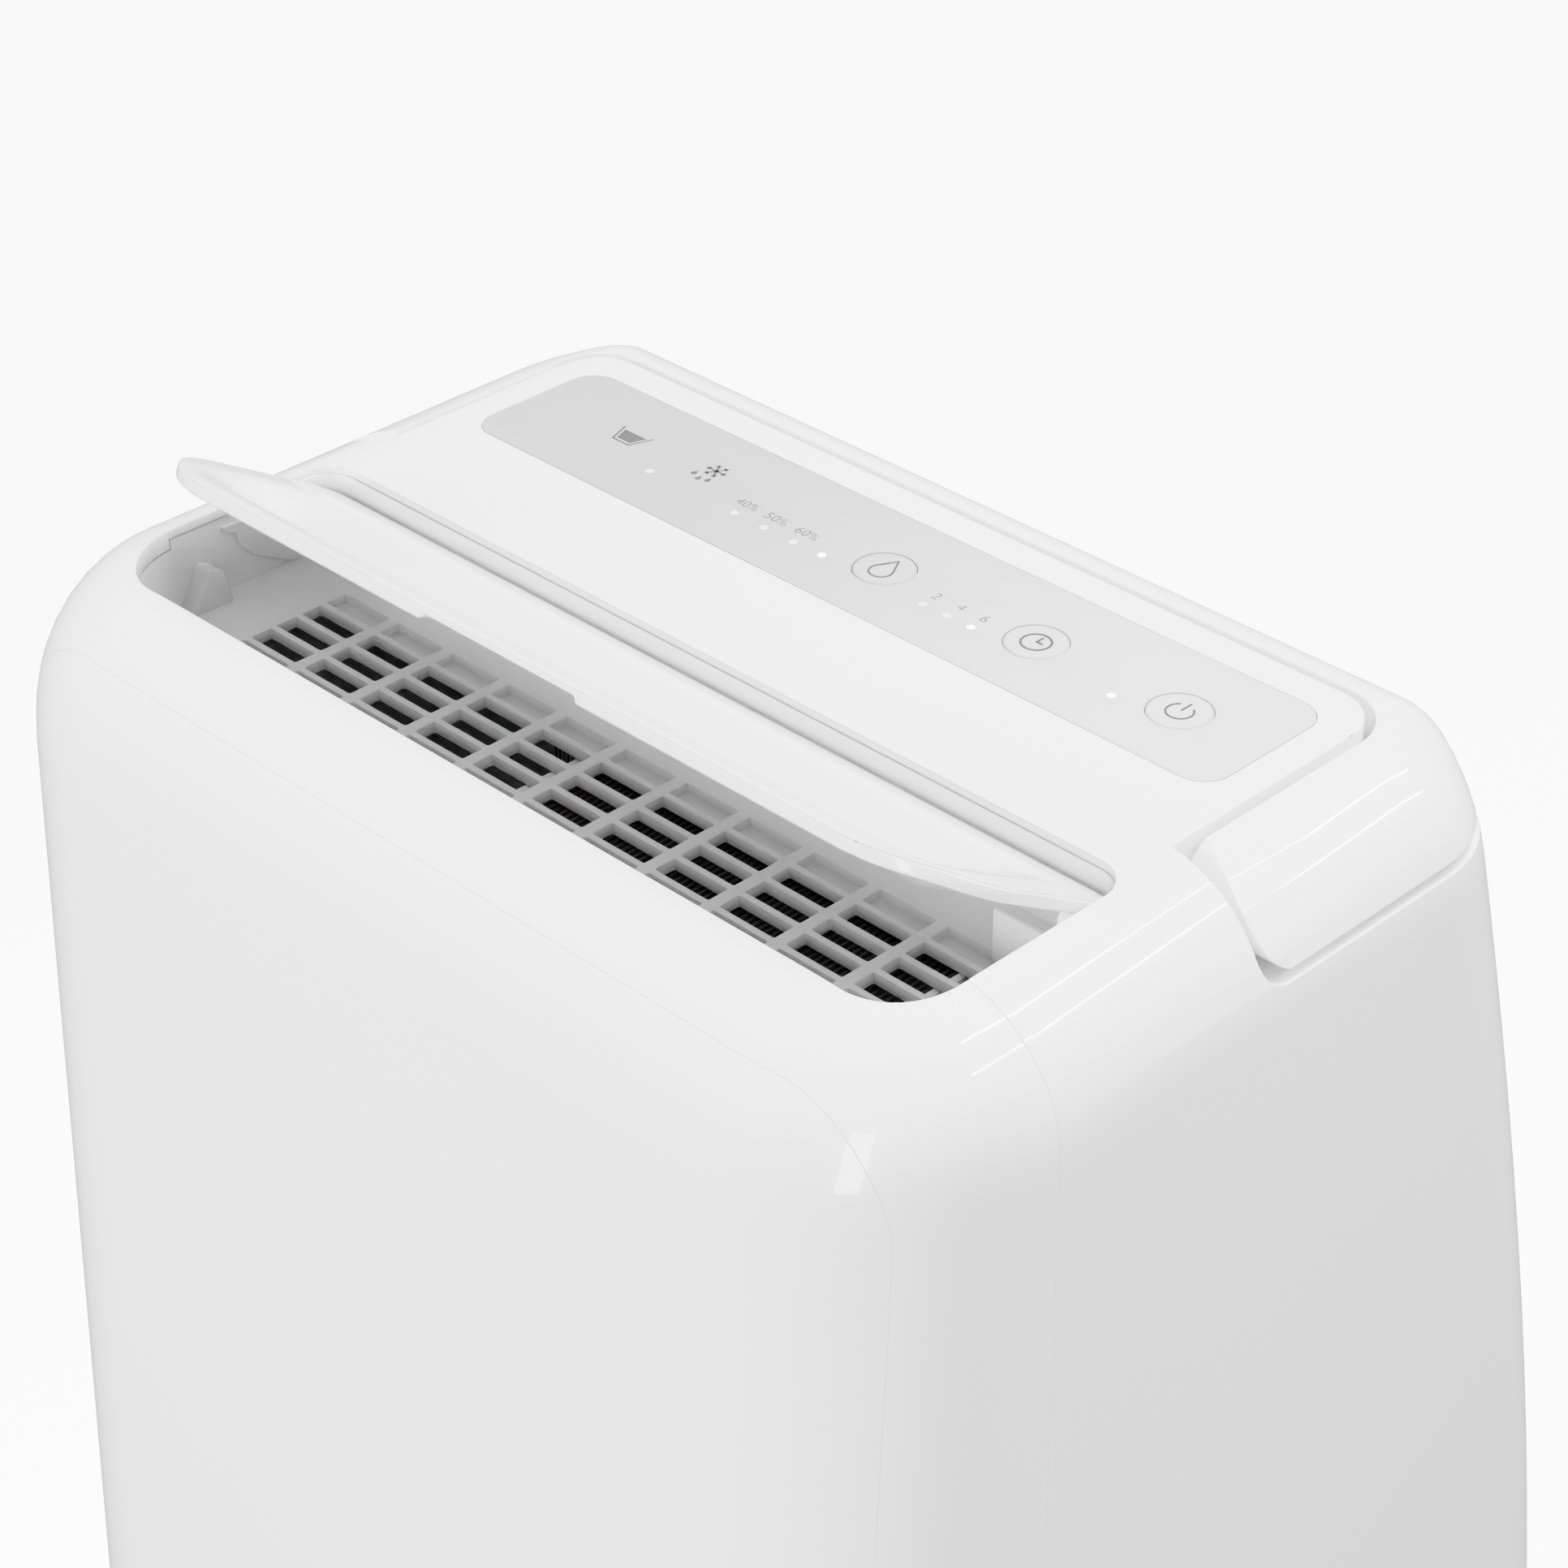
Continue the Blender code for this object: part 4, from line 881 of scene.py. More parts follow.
@dataclass(frozen=True)
class Controls:
    """Control film with three push buttons, printed marks and lamps on the deck."""

    form: CasingForm
    half_x: float = 0.1342
    front: float = -0.0228
    back: float = 0.0250
    corner_r: float = 0.0085
    film_t: float = 0.0008
    button_r: float = 0.0086
    button_x: tuple[tuple[str, float], ...] = (("humidity_button", 0.0056), ("timer_button", 0.0591),
                                               ("power_button", 0.1067))
    ink_t: float = 0.00005
    lit: tuple[Point2, ...] = ((0.0898, -0.0064), (0.0423, -0.0064), (-0.0112, -0.0064))
    unlit: tuple[Point2, ...] = ((-0.0217, -0.0068), (-0.0329, -0.0067), (-0.0443, -0.0065),
                                 (-0.0778, -0.0063), (0.0254, -0.0064), (0.0339, -0.0064))
    numerals: tuple[tuple[str, float, float, float], ...] = (
        ("40%", -0.0449, -0.0007, 0.0079), ("50%", -0.0335, -0.0009, 0.0079),
        ("60%", -0.0220, -0.0009, 0.0079),
        ("2", 0.0254, -0.0009, 0.0021), ("4", 0.0339, -0.0007, 0.0021), ("6", 0.0421, -0.0007, 0.0021))

    def outline(self, grow: float = 0.0) -> list[Point2]:
        """Return the film's outline, made larger by grow."""
        y = self.form.control_y
        return rounded(-self.half_x - grow, self.half_x + grow, y + self.front - grow,
                       y + self.back + grow, (self.corner_r + grow,) * 4)

    def bores(self, name: str, radius: float) -> list[bpy.types.Object]:
        """Return one cutter for each button."""
        form = self.form
        return [drum(f"{name}_{label}", (x, form.control_y, form.deck_z), radius, 0.03)
                for label, x in self.button_x]

    def build(self) -> None:
        """Make the film, the buttons, the print and the lamps."""
        form = self.form
        film = prism("film", self.outline(), form.deck_z - self.film_t, form.deck_z)
        cut(film, *self.bores("film_bore", self.button_r + 0.0003))
        dress(soften(film, 0.00015), Look.FILM, "cabinet", "control_overlay")
        for label, x in self.button_x:
            self.button(label, x)
        self.print_marks()

    def button(self, label: str, x: float) -> None:
        """Make one push button with its slightly hollowed face and its skirt.

        Args:
            label: The button's body and the start of its piece's name.
            x: Its centre.
        """
        form, r = self.form, self.button_r
        profile = [(0.0, -0.0085), (0.0020, -0.0085), (0.0020, -0.0059), (r + 0.0016, -0.0059),
                   (r + 0.0016, -0.0049), (r, -0.0049), (r, -0.00045), (r - 0.00012, -0.00015),
                   (r - 0.00045, -0.00002), (r - 0.0010, 0.0), (r * 0.5, -0.00018), (0.0, -0.00025)]
        cap = turned(label + "_cap", (x, form.control_y, form.deck_z), profile, steps=64)
        cap.data.shade_smooth()
        cap.data.set_sharp_from_angle(angle=math.radians(50))
        dress(cap, Look.FILM, label, label)

    def mark(self, name: str, outline: Sequence[Point2], look: Look = Look.INK, body: str = "cabinet",
             hole: Sequence[Point2] = ()) -> bpy.types.Object:
        """Print one flat shape on the film, given relative to the buttons' centre line.

        Args:
            name: What the new object is called.
            outline: The shape's points.
            look: Its finish.
            body: The body that it is printed on.
            hole: The outline of a hole through it, if any.

        Returns:
            The mark.
        """
        form = self.form
        lift = form.deck_z - (0.00025 if body != "cabinet" else 0.0)
        low, high = lift - 0.0001, form.deck_z + self.ink_t * 0.2 - (0.0 if body == "cabinet" else 0.00003)
        made = prism(name, [(x, y + form.control_y) for x, y in outline], low, high)
        if hole:
            cut(made, prism(name + "_hole", [(x, y + form.control_y) for x, y in hole], low - 0.001,
                            high + 0.001))
        return dress(made, look, body)

    def circle(self, x: float, y: float, r: float, count: int = 40) -> list[Point2]:
        """Return a circle's points."""
        return [(x + r * math.cos(math.tau * i / count), y + r * math.sin(math.tau * i / count))
                for i in range(count)]

    def stroke(self, name: str, start: Point2, end: Point2, width: float, body: str = "cabinet") -> None:
        """Print a straight line with square ends.

        Args:
            name: What the new object is called.
            start: One end.
            end: The other end.
            width: The line's width.
            body: The body that it is printed on.
        """
        along = Vector((end[0] - start[0], end[1] - start[1])).normalized()
        side = Vector((-along.y, along.x)) * (width / 2)
        corners = [Vector(start) - side, Vector(end) - side, Vector(end) + side, Vector(start) + side]
        self.mark(name, [tuple(corner) for corner in corners], body=body)

    def drop(self, x: float, y: float, r: float) -> list[Point2]:
        """Return a water drop's points, tip upward."""
        arc = [(x + r * math.cos(math.radians(a)), y + r * math.sin(math.radians(a)))
               for a in range(150, 391, 12)]
        return arc + [(x, y + r * 2.1)]

    def print_marks(self) -> None:
        """Print the rings, symbols, numerals and lamps."""
        for label, x in self.button_x:
            self.mark(f"{label}_ring", self.circle(x, 0, 0.00825, 72), body=label,
                      hole=self.circle(x, 0, 0.0075, 72))
        hx, tx, px = (x for _, x in self.button_x)
        self.mark("mark_drop", self.drop(hx, -0.0014, 0.0036), body="humidity_button",
                  hole=self.drop(hx, -0.0014, 0.0030))
        self.mark("mark_clock", self.circle(tx, 0, 0.0044), body="timer_button",
                  hole=self.circle(tx, 0, 0.0037))
        self.stroke("mark_clock_hour", (tx, 0.0002), (tx + 0.0021, 0.0002), 0.0006, "timer_button")
        self.stroke("mark_clock_minute", (tx, 0.0), (tx, 0.0029), 0.0006, "timer_button")
        arc = [math.radians(a) for a in range(125, 416, 10)]
        outer = [(px + 0.0039 * math.cos(a), 0.0039 * math.sin(a)) for a in arc]
        inner = [(px + 0.0033 * math.cos(a), 0.0033 * math.sin(a)) for a in reversed(arc)]
        self.mark("mark_power_arc", outer + inner, body="power_button")
        self.stroke("mark_power_bar", (px, 0.0006), (px, 0.0047), 0.0006, "power_button")
        self.mark("mark_cup", [(-0.0990, 0.0010), (-0.0938, 0.0010), (-0.0920, 0.0060), (-0.1008, 0.0060)])
        self.stroke("mark_cup_left", (-0.1022, 0.0074), (-0.0996, 0.0000), 0.0007)
        self.stroke("mark_cup_base", (-0.0998, 0.0000), (-0.0930, 0.0000), 0.0007)
        self.stroke("mark_cup_right", (-0.0932, 0.0000), (-0.0906, 0.0074), 0.0007)
        for i in range(3):
            turn = math.radians(60 * i)
            dx, dy = 0.0036 * math.cos(turn), 0.0036 * math.sin(turn)
            self.stroke(f"mark_flake_{i + 1}", (-0.0647 - dx, 0.0066 - dy), (-0.0647 + dx, 0.0066 + dy),
                        0.0008)
        for i in range(6):
            turn = math.radians(60 * i)
            x, y = -0.0647 + 0.0027 * math.cos(turn), 0.0066 + 0.0027 * math.sin(turn)
            dx, dy = 0.0010 * math.cos(turn + math.pi / 2), 0.0010 * math.sin(turn + math.pi / 2)
            self.stroke(f"mark_flake_arm_{i + 1}", (x - dx, y - dy), (x + dx, y + dy), 0.0006)
        for i, (x, y) in enumerate(((-0.0685, 0.0015), (-0.0655, 0.0001), (-0.0627, 0.0010))):
            self.mark(f"mark_melt_{i + 1}", self.drop(x, y, 0.0009))
        for i, (text, x, y, width) in enumerate(self.numerals):
            self.numeral(f"mark_number_{i + 1}", text, x, y, width)
        for i, (x, y) in enumerate(self.lit):
            self.mark(f"lamp_on_{i + 1}", self.circle(x, y, 0.0012, 28), Look.LAMP_ON)
        for i, (x, y) in enumerate(self.unlit):
            self.mark(f"lamp_off_{i + 1}", self.circle(x, y, 0.0012, 28), Look.LAMP_OFF)

    def numeral(self, name: str, text: str, x: float, y: float, width: float) -> None:
        """Print a number of a given width, centred on a point.

        Args:
            name: What the new object is called.
            text: The number.
            x: Its centre across.
            y: Its centre from front to back.
            width: Its width.
        """
        form = self.form
        words = bpy.data.curves.new(name, "FONT")
        words.body = text
        words.extrude = 0.5
        words.resolution_u = 3
        holder = bpy.data.objects.new(name + "_line", words)
        bpy.context.scene.collection.objects.link(holder)
        bpy.context.view_layer.update()
        mesh = bpy.data.meshes.new_from_object(holder.evaluated_get(bpy.context.evaluated_depsgraph_get()))
        bpy.data.objects.remove(holder, do_unlink=True)
        bm = bmesh.new()
        bm.from_mesh(mesh)
        bmesh.ops.remove_doubles(bm, verts=bm.verts, dist=0.0001)
        low = Vector(min(v.co[i] for v in bm.verts) for i in range(3))
        high = Vector(max(v.co[i] for v in bm.verts) for i in range(3))
        scale = width / (high.x - low.x)
        deep = self.ink_t / (high.z - low.z)
        middle = (low + high) / 2
        place = Matrix.Translation((x, y + form.control_y, form.deck_z - self.ink_t * 0.3))
        bmesh.ops.transform(bm, verts=bm.verts, matrix=place @ Matrix.Diagonal((scale, scale, deep, 1.0))
                            @ Matrix.Translation(-middle))
        dress(wrap(name, bm), Look.INK, "cabinet")


@dataclass(frozen=True)
class Outlet:
    """Air outlet: the tray sunk into the deck with its slotted floor, and the tilting louver."""

    form: CasingForm
    half_x: float = 0.1457
    front: float = -0.1412
    back: float = -0.0637
    front_r: float = 0.020
    back_r: float = 0.0094
    floor_drop: float = 0.0254
    floor_t: float = 0.0036
    slot_pitch: Point2 = (0.02254, 0.0087)
    slot_count: tuple[int, int] = (11, 5)
    slot_first: Point2 = (-0.1221, -0.1242)
    bar: Point2 = (0.0038, 0.0020)
    slot_r: float = 0.0005
    fin_pitch: float = 0.0021
    fin_t: float = 0.0008
    louver_angle: float = 31.0
    louver_pivot: Point2 = (-0.0808, -0.0062)
    louver_t: float = 0.0036
    louver_dish: float = 0.0065
    louver_front_r: float = 0.030
    notch_half_x: float = 0.027
    notch_depth: float = 0.006
    notch_skin: float = 0.0018
    pin_r: float = 0.0018
    skirt_t: float = 0.0005
    skirt_drop: float = 0.0125
    skirt_front: float = -0.0780

    def outline(self, grow: float = 0.0) -> list[Point2]:
        """Return the outline of the opening in the deck, made larger by grow."""
        y = self.form.control_y
        return rounded(-self.half_x - grow, self.half_x + grow, y + self.front - grow, y + self.back + grow,
                       (self.front_r + grow, self.front_r + grow, self.back_r + grow, self.back_r + grow))

    def build(self) -> None:
        """Make the tray, the guide fins below it and the louver."""
        self.tray()
        self.fins()
        self.louver()

    def fins(self) -> None:
        """Make the black comb of upright fins in the mouth of the duct."""
        low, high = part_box("outlet_vanes")
        comb = box("outlet_comb", low, high)
        cut(comb, box("comb_mouth", (low.x + 0.0010, low.y + 0.0010, low.z - 0.01),
                      (high.x - 0.0010, high.y - 0.0010, high.z + 0.01)))
        count = int((high.x - low.x - 0.002) / self.fin_pitch)
        bm = bmesh.new()
        bm.from_mesh(comb.data)
        for i in range(count):
            x = low.x + 0.001 + (i + 0.5) * self.fin_pitch
            size = (self.fin_t, high.y - low.y - 0.0020, high.z - low.z - 0.0010)
            middle = (x, (low.y + high.y) / 2, (low.z + high.z) / 2)
            bmesh.ops.create_cube(bm, size=1.0,
                                  matrix=Matrix.Translation(middle) @ Matrix.Diagonal((*size, 1.0)))
        bpy.data.objects.remove(comb, do_unlink=True)
        dress(wrap("outlet_fins", bm), Look.BLACK, "cabinet", "outlet_vanes")

    def tray(self) -> None:
        """Make the recess with its slots, the hinge plates, the left air guide and the opening's skirt."""
        form = self.form
        grille_z = form.deck_z - self.floor_drop
        floor_z = grille_z - self.floor_t
        body = prism("outlet_tray", self.outline(0.0022), floor_z, form.deck_z)
        keep(body, form.solid("tray_ceiling", form.skin + form.gap))
        thick = form.slice("thick_front", (-FAR, FAR), (-FAR, form.part_y + form.gap),
                           (floor_z - 0.01, form.deck_z + 0.01))
        cut(thick, form.solid("thick_ceiling", form.front_skin + form.gap))
        cut(body, thick)
        cut(body, prism("tray_hollow", self.outline(), grille_z, form.deck_z + Z_ROOM))
        slots, pockets = [], []
        for column in range(self.slot_count[0]):
            for row in range(self.slot_count[1]):
                x = self.slot_first[0] + (column + 0.5) * self.slot_pitch[0]
                y = form.control_y + self.slot_first[1] + (row + 0.5) * self.slot_pitch[1]
                dx, dy = ((pitch - rib) / 2 for pitch, rib in zip(self.slot_pitch, self.bar))
                shape = rounded(x - dx, x + dx, y - dy, y + dy, (self.slot_r,) * 4, 4)
                (pockets if row == self.slot_count[1] - 1 else slots).append(shape)
        cut(body, self.grid("tray_slots", slots, floor_z - 0.005, grille_z + 0.005),
            self.grid("tray_pockets", pockets, floor_z + 0.0008, grille_z + 0.005))
        cut(body, drum("louver_bore", (0, *self.pivot()), self.pin_r + 0.0003, 0.4, Axis.X, steps=24))
        soften(body, 0.0003, 2, 35)
        # the tray's grey colour is painted shade on white plastic
        dress(body, Look.TRAY, "cabinet", "outlet_grille")
        y0, z0 = form.control_y, form.deck_z
        plate = [(-0.1032, -0.0060), (-0.1024, -0.0075), (-0.0985, -0.0093), (-0.0980, -0.0133),
                 (-0.0938, -0.0178), (-0.0797, -0.0254), (-0.0660, -0.0254), (-0.0660, -0.0235),
                 (-0.0790, -0.0165), (-0.0900, -0.0060)]
        guide = [(-0.1185, -0.0254), (-0.1053, -0.0254), (-0.1081, -0.0152), (-0.1123, -0.0135)]
        for name, outline, span in (("hinge_plate_left", plate, (-0.1457, -0.1443)),
                                    ("air_guide_left", guide, (-0.1457, -0.1391))):
            made = prism(name, [(y + y0, z + z0) for y, z in outline], *span, axis=Axis.X)
            dress(soften(made, 0.0003), Look.TRAY, "cabinet")
        skirt = cut(prism("outlet_skirt", self.outline(), z0 - self.skirt_drop, z0 - form.skin),
                    prism("skirt_inside", self.outline(-self.skirt_t), z0 - 0.05, z0 + 0.05),
                    form.slice("skirt_front", (-FAR, FAR), (-FAR, y0 + self.skirt_front), (-FAR, FAR + z0)))
        dress(skirt, Look.CASING, "cabinet")
        web = prism("hinge_web_right", rounded(0.1222, 0.1456, y0 - 0.0855, y0 - 0.0838, (0.0004,) * 4, 3),
                    z0 - 0.0254, z0 - 0.0100)
        dress(soften(web, 0.0003), Look.TRAY, "cabinet")

    def grid(self, name: str, outlines: Sequence[Sequence[Point2]], low: float,
             high: float) -> bpy.types.Object:
        """Return many prisms of the same height as one cutter.

        Args:
            name: What the new object is called.
            outlines: One outline for each prism.
            low: The height of the lower ends.
            high: The height of the upper ends.

        Returns:
            The cutter.
        """
        bm = bmesh.new()
        for outline in outlines:
            face = bm.faces.new([bm.verts.new((x, y, low)) for x, y in outline])
            grown = bmesh.ops.extrude_face_region(bm, geom=[face])["geom"]
            tops = [part for part in grown if isinstance(part, bmesh.types.BMVert)]
            bmesh.ops.translate(bm, verts=tops, vec=(0, 0, high - low))
        return wrap(name, bm)

    def pivot(self) -> Point2:
        """Return the louver axis's y and z."""
        return self.form.control_y + self.louver_pivot[0], self.form.deck_z + self.louver_pivot[1]

    def half_width(self, y: float) -> float:
        """Return the louver's half width at y, with its rounded front and back corners.

        Args:
            y: The place from front to back.

        Returns:
            Half of the louver's width there.
        """
        half = self.half_x - 0.0010
        front_y = self.form.control_y + self.front + 0.0009
        back_y = self.form.control_y + self.back - 0.0024
        if y < front_y + self.louver_front_r:
            rest, r = front_y + self.louver_front_r - y, self.louver_front_r
        elif y > back_y - self.back_r:
            rest, r = y - (back_y - self.back_r), self.back_r
        else:
            return half
        return half - r + math.sqrt(max(r ** 2 - rest ** 2, 0.0))

    def height(self, x: float, y: float) -> float:
        """Return the height of the closed louver's upper face, which is slightly dished.

        Args:
            x: The place across.
            y: The place from front to back.

        Returns:
            The height of the upper face there.
        """
        form = self.form
        reach = max(form.front_y + form.front_roll_r - y, 0.0)
        drop = form.front_roll_r - math.sqrt(form.front_roll_r ** 2 - reach ** 2)
        pivot_y = self.pivot()[0]
        crease_y = pivot_y - 0.0260
        fore = 1.0 - ramp(-y, -crease_y, -(form.control_y + self.front) - 0.003)
        aft = 1.0 - min(max((y - crease_y) / (pivot_y - crease_y + 0.004), 0.0), 1.0)
        side = 1.0 - ramp(abs(x), self.half_x - 0.026, self.half_x - 0.011)
        return form.deck_z - drop - self.louver_dish * fore * aft * side

    def louver(self) -> None:
        """Make the dished blade with its lip, finger notch, ears and pins, turned open."""
        front_y = self.form.control_y + self.front + 0.0009
        depth = self.form.control_y + self.back - 0.0024 - front_y
        shares = [math.sin(math.radians(90 * i / 24)) for i in range(25)]
        columns = [-share for share in reversed(shares[1:])] + shares
        rows = [0.5 - 0.5 * math.cos(math.pi * i / 44) for i in range(45)]
        bm = bmesh.new()
        made = bmesh.ops.create_grid(bm, x_segments=len(columns) - 1, y_segments=len(rows) - 1, size=1.0)
        for vert in made["verts"]:
            u = columns[round((vert.co.x + 1) / 2 * (len(columns) - 1))]
            y = front_y + depth * rows[round((vert.co.y + 1) / 2 * (len(rows) - 1))]
            x = u * self.half_width(y)
            vert.co = (x, y, self.height(x, y))
        bmesh.ops.recalc_face_normals(bm, faces=bm.faces)
        if sum(face.normal.z for face in bm.faces) < 0:
            bmesh.ops.reverse_faces(bm, faces=bm.faces)
        mesh = bpy.data.meshes.new("louver_blade")
        bm.to_mesh(mesh)
        bm.free()
        blade = bpy.data.objects.new("louver_blade", mesh)
        bpy.context.scene.collection.objects.link(blade)
        wall = blade.modifiers.new("thickness", "SOLIDIFY")
        wall.thickness = self.louver_t
        wall.offset = -1.0
        settle(blade)
        pivot_y, pivot_z = self.pivot()
        for side in (-1, 1):
            ear = drum(f"louver_ear_{side}", (side * (self.half_x - 0.0040), pivot_y, pivot_z), 0.0026,
                       0.0042, Axis.X)
            pin = drum(f"louver_pin_{side}", (side * (self.half_x - 0.0005), pivot_y, pivot_z), self.pin_r,
                       0.0040, Axis.X)
            join(blade, ear, pin)
        roof = self.height(0, front_y) - self.notch_skin
        notch = [(-self.notch_half_x - 0.005, roof - 0.006), (self.notch_half_x + 0.005, roof - 0.006),
                 (self.notch_half_x, roof), (-self.notch_half_x, roof)]
        cut(blade, prism("finger_notch", notch, front_y - 0.010, front_y + self.notch_depth, Axis.Y))
        soften(blade, 0.0007, 3, 40)
        middle = Vector((0, pivot_y, pivot_z))
        turn = Matrix.Rotation(math.radians(-self.louver_angle), 4, "X")
        blade.data.transform(Matrix.Translation(middle) @ turn @ Matrix.Translation(-middle))
        dress(blade, Look.CASING, "louver", "louver")


def ramp(value: float, low: float, high: float) -> float:
    """Return a smooth 0 to 1 step between low and high."""
    t = min(max((value - low) / (high - low), 0.0), 1.0)
    return t * t * (3 - 2 * t)


@dataclass(frozen=True)
class Casing:
    """Cabinet, front casing, front panel and carry handle, which share one form."""

    form: CasingForm
    controls: Controls
    outlet: Outlet
    deck_half_x: float = 0.1438
    deck_back: float = 0.0357
    deck_corner_r: float = 0.014
    recess_front: float = -0.0475
    recess_drop: float = 0.0291
    recess_r: float = 0.010
    handle_half_x: float = 0.1466
    handle_back: float = 0.0386
    handle_drop: float = 0.0260
    handle_wall: float = 0.0030
    handle_pivot: Point2 = (-0.0320, -0.0132)
    handle_nose_r: float = 0.0138
    pivot_pin_r: float = 0.0030
    panel_half_x: float = 0.1593
    panel_top_drop: float = 0.0152
    panel_bottom_z: float = 0.034
    panel_r: float = 0.034
    panel_t: float = 0.0024
    tank_half_x: float = 0.1495
    tank_z: Point2 = (0.0445, 0.2330)
    filter_half_x: float = 0.13
    filter_z: Point2 = (0.27, 0.49)
    gland: Point3 = (-0.1600, 0.1575, 0.0800)
    drain: Point3 = (-0.1500, 0.1475, 0.2560)
    screws: tuple[Point2, ...] = ((-0.11, 0.256), (0.11, 0.256), (-0.11, 0.504), (0.11, 0.504))
    edge: float = 0.0003
    seam: float = 0.8

    def build(self) -> None:
        """Make the four mouldings."""
        self.cabinet()
        self.front()
        self.handle()

    def recess(self, name: str, grow: float) -> bpy.types.Object:
        """Return the cutter for the U-shaped step that the handle folds into.

        Args:
            name: What the new object is called.
            grow: How far the cutter reaches past the step.

        Returns:
            The cutter.
        """
        form = self.form
        y, low = form.control_y, form.deck_z - self.recess_drop - grow
        profile = rounded(y + self.recess_front - grow, FAR, low, form.deck_z + 0.01,
                          (self.recess_r + grow, 0, 0, 0))
        outline = rounded(-self.deck_half_x + grow, self.deck_half_x - grow, y + self.recess_front - 0.05,
                          y + self.deck_back - grow,
                          (0, 0, self.deck_corner_r - grow, self.deck_corner_r - grow))
        return cut(prism(name, profile, -FAR, FAR, Axis.X),
                   prism(name + "_island", outline, low - 0.01, form.deck_z + 0.02))

    def cabinet(self) -> None:
        """Make the deck, sides and back in one moulding with all its openings."""
        form, far = self.form, (-FAR, FAR)
        shell = form.solid("cabinet_shell")
        core = cut(form.solid("cabinet_core", form.skin, form.base_z - 0.01),
                   self.recess("recess_in", form.skin))
        cut(shell, self.recess("recess_out", 0.0), core)
        cut(shell, form.slice("front_off", far, (-FAR, form.part_y), (-FAR, FAR + form.deck_z)))
        film_low = form.deck_z - self.controls.film_t - form.gap
        cut(shell, prism("outlet_cut", self.outlet.outline(), form.deck_z - 0.02, form.deck_z + 0.02),
            prism("film_seat", self.controls.outline(form.gap), film_low, form.deck_z + 0.01),
            *self.controls.bores("button_bore", self.controls.button_r + 0.0005))
        tank, filt = self.tank_half_x + 0.001, self.filter_half_x + 0.0008
        cut(shell, form.slice("tank_mouth", (-tank, tank), (0.03, FAR),
                              (self.tank_z[0] - 0.001, self.tank_z[1] + 0.006)),
            form.slice("filter_mouth", (-filt, filt), (0.03, FAR),
                       (self.filter_z[0] - 0.0008, self.filter_z[1] + 0.0008)))
        pivot = (form.control_y + self.handle_pivot[0], form.deck_z + self.handle_pivot[1])
        bores = [drum(f"pivot_bore_{s}", (s * (self.deck_half_x - 0.001), *pivot), self.pivot_pin_r + 0.0003,
                      0.012, Axis.X) for s in (-1, 1)]
        bores += [drum("gland_bore", self.gland, 0.0063, 0.03, Axis.Y),
                  drum("drain_bore", self.drain, 0.0083, 0.03, Axis.Y)]
        bores += [drum(f"screw_bore_{i}", (x, form.back_line(z), z), 0.0041, 0.03, Axis.Y)
                  for i, (x, z) in enumerate(self.screws)]
        cut(shell, *bores)
        soften(shell, self.edge, 2, 40)
        match_surface(shell, form.solid("cabinet_surface"))
        dress(shell, Look.CASING, "cabinet", "cabinet")

    def panel_outline(self, grow: float = 0.0) -> list[Point2]:
        """Return the front panel's outline in the X-Z plane."""
        return rounded(-self.panel_half_x - grow, self.panel_half_x + grow, self.panel_bottom_z - grow,
                       self.form.deck_z - self.panel_top_drop + grow,
                       (0.010, 0.010, self.panel_r + grow, self.panel_r + grow))

    def front(self) -> None:
        """Make the front casing with its pocket, and the panel that sits in the pocket."""
        form, far = self.form, (-FAR, FAR)
        low = form.base_z - 0.01
        shell = cut(form.solid("front_shell"), form.solid("front_core", form.front_skin, low),
                    form.slice("rear_off", far, (form.part_y - form.gap * (1 - self.seam), FAR),
                               (-FAR, FAR + form.deck_z)))
        pocket = prism("panel_pocket", self.panel_outline(form.gap), -FAR, form.part_y - 0.012, Axis.Y)
        cut(shell, cut(pocket, form.solid("pocket_core", self.panel_t + form.gap, low)),
            prism("outlet_cut_front", self.outlet.outline(), form.deck_z - 0.03, form.deck_z + 0.02))
        soften(shell, self.edge, 2, 40)
        match_surface(shell, form.solid("front_surface"))
        dress(shell, Look.CASING, "cabinet", "front_casing")
        panel = prism("front_panel_face", self.panel_outline(form.gap * self.seam), -FAR,
                      form.part_y - 0.012, Axis.Y)
        keep(panel, form.solid("panel_face"))
        cut(panel, form.solid("panel_back", self.panel_t, low))
        soften(panel, self.edge, 2, 40)
        match_surface(panel, form.solid("panel_surface"))
        dress(panel, Look.PANEL, "cabinet", "front_panel")

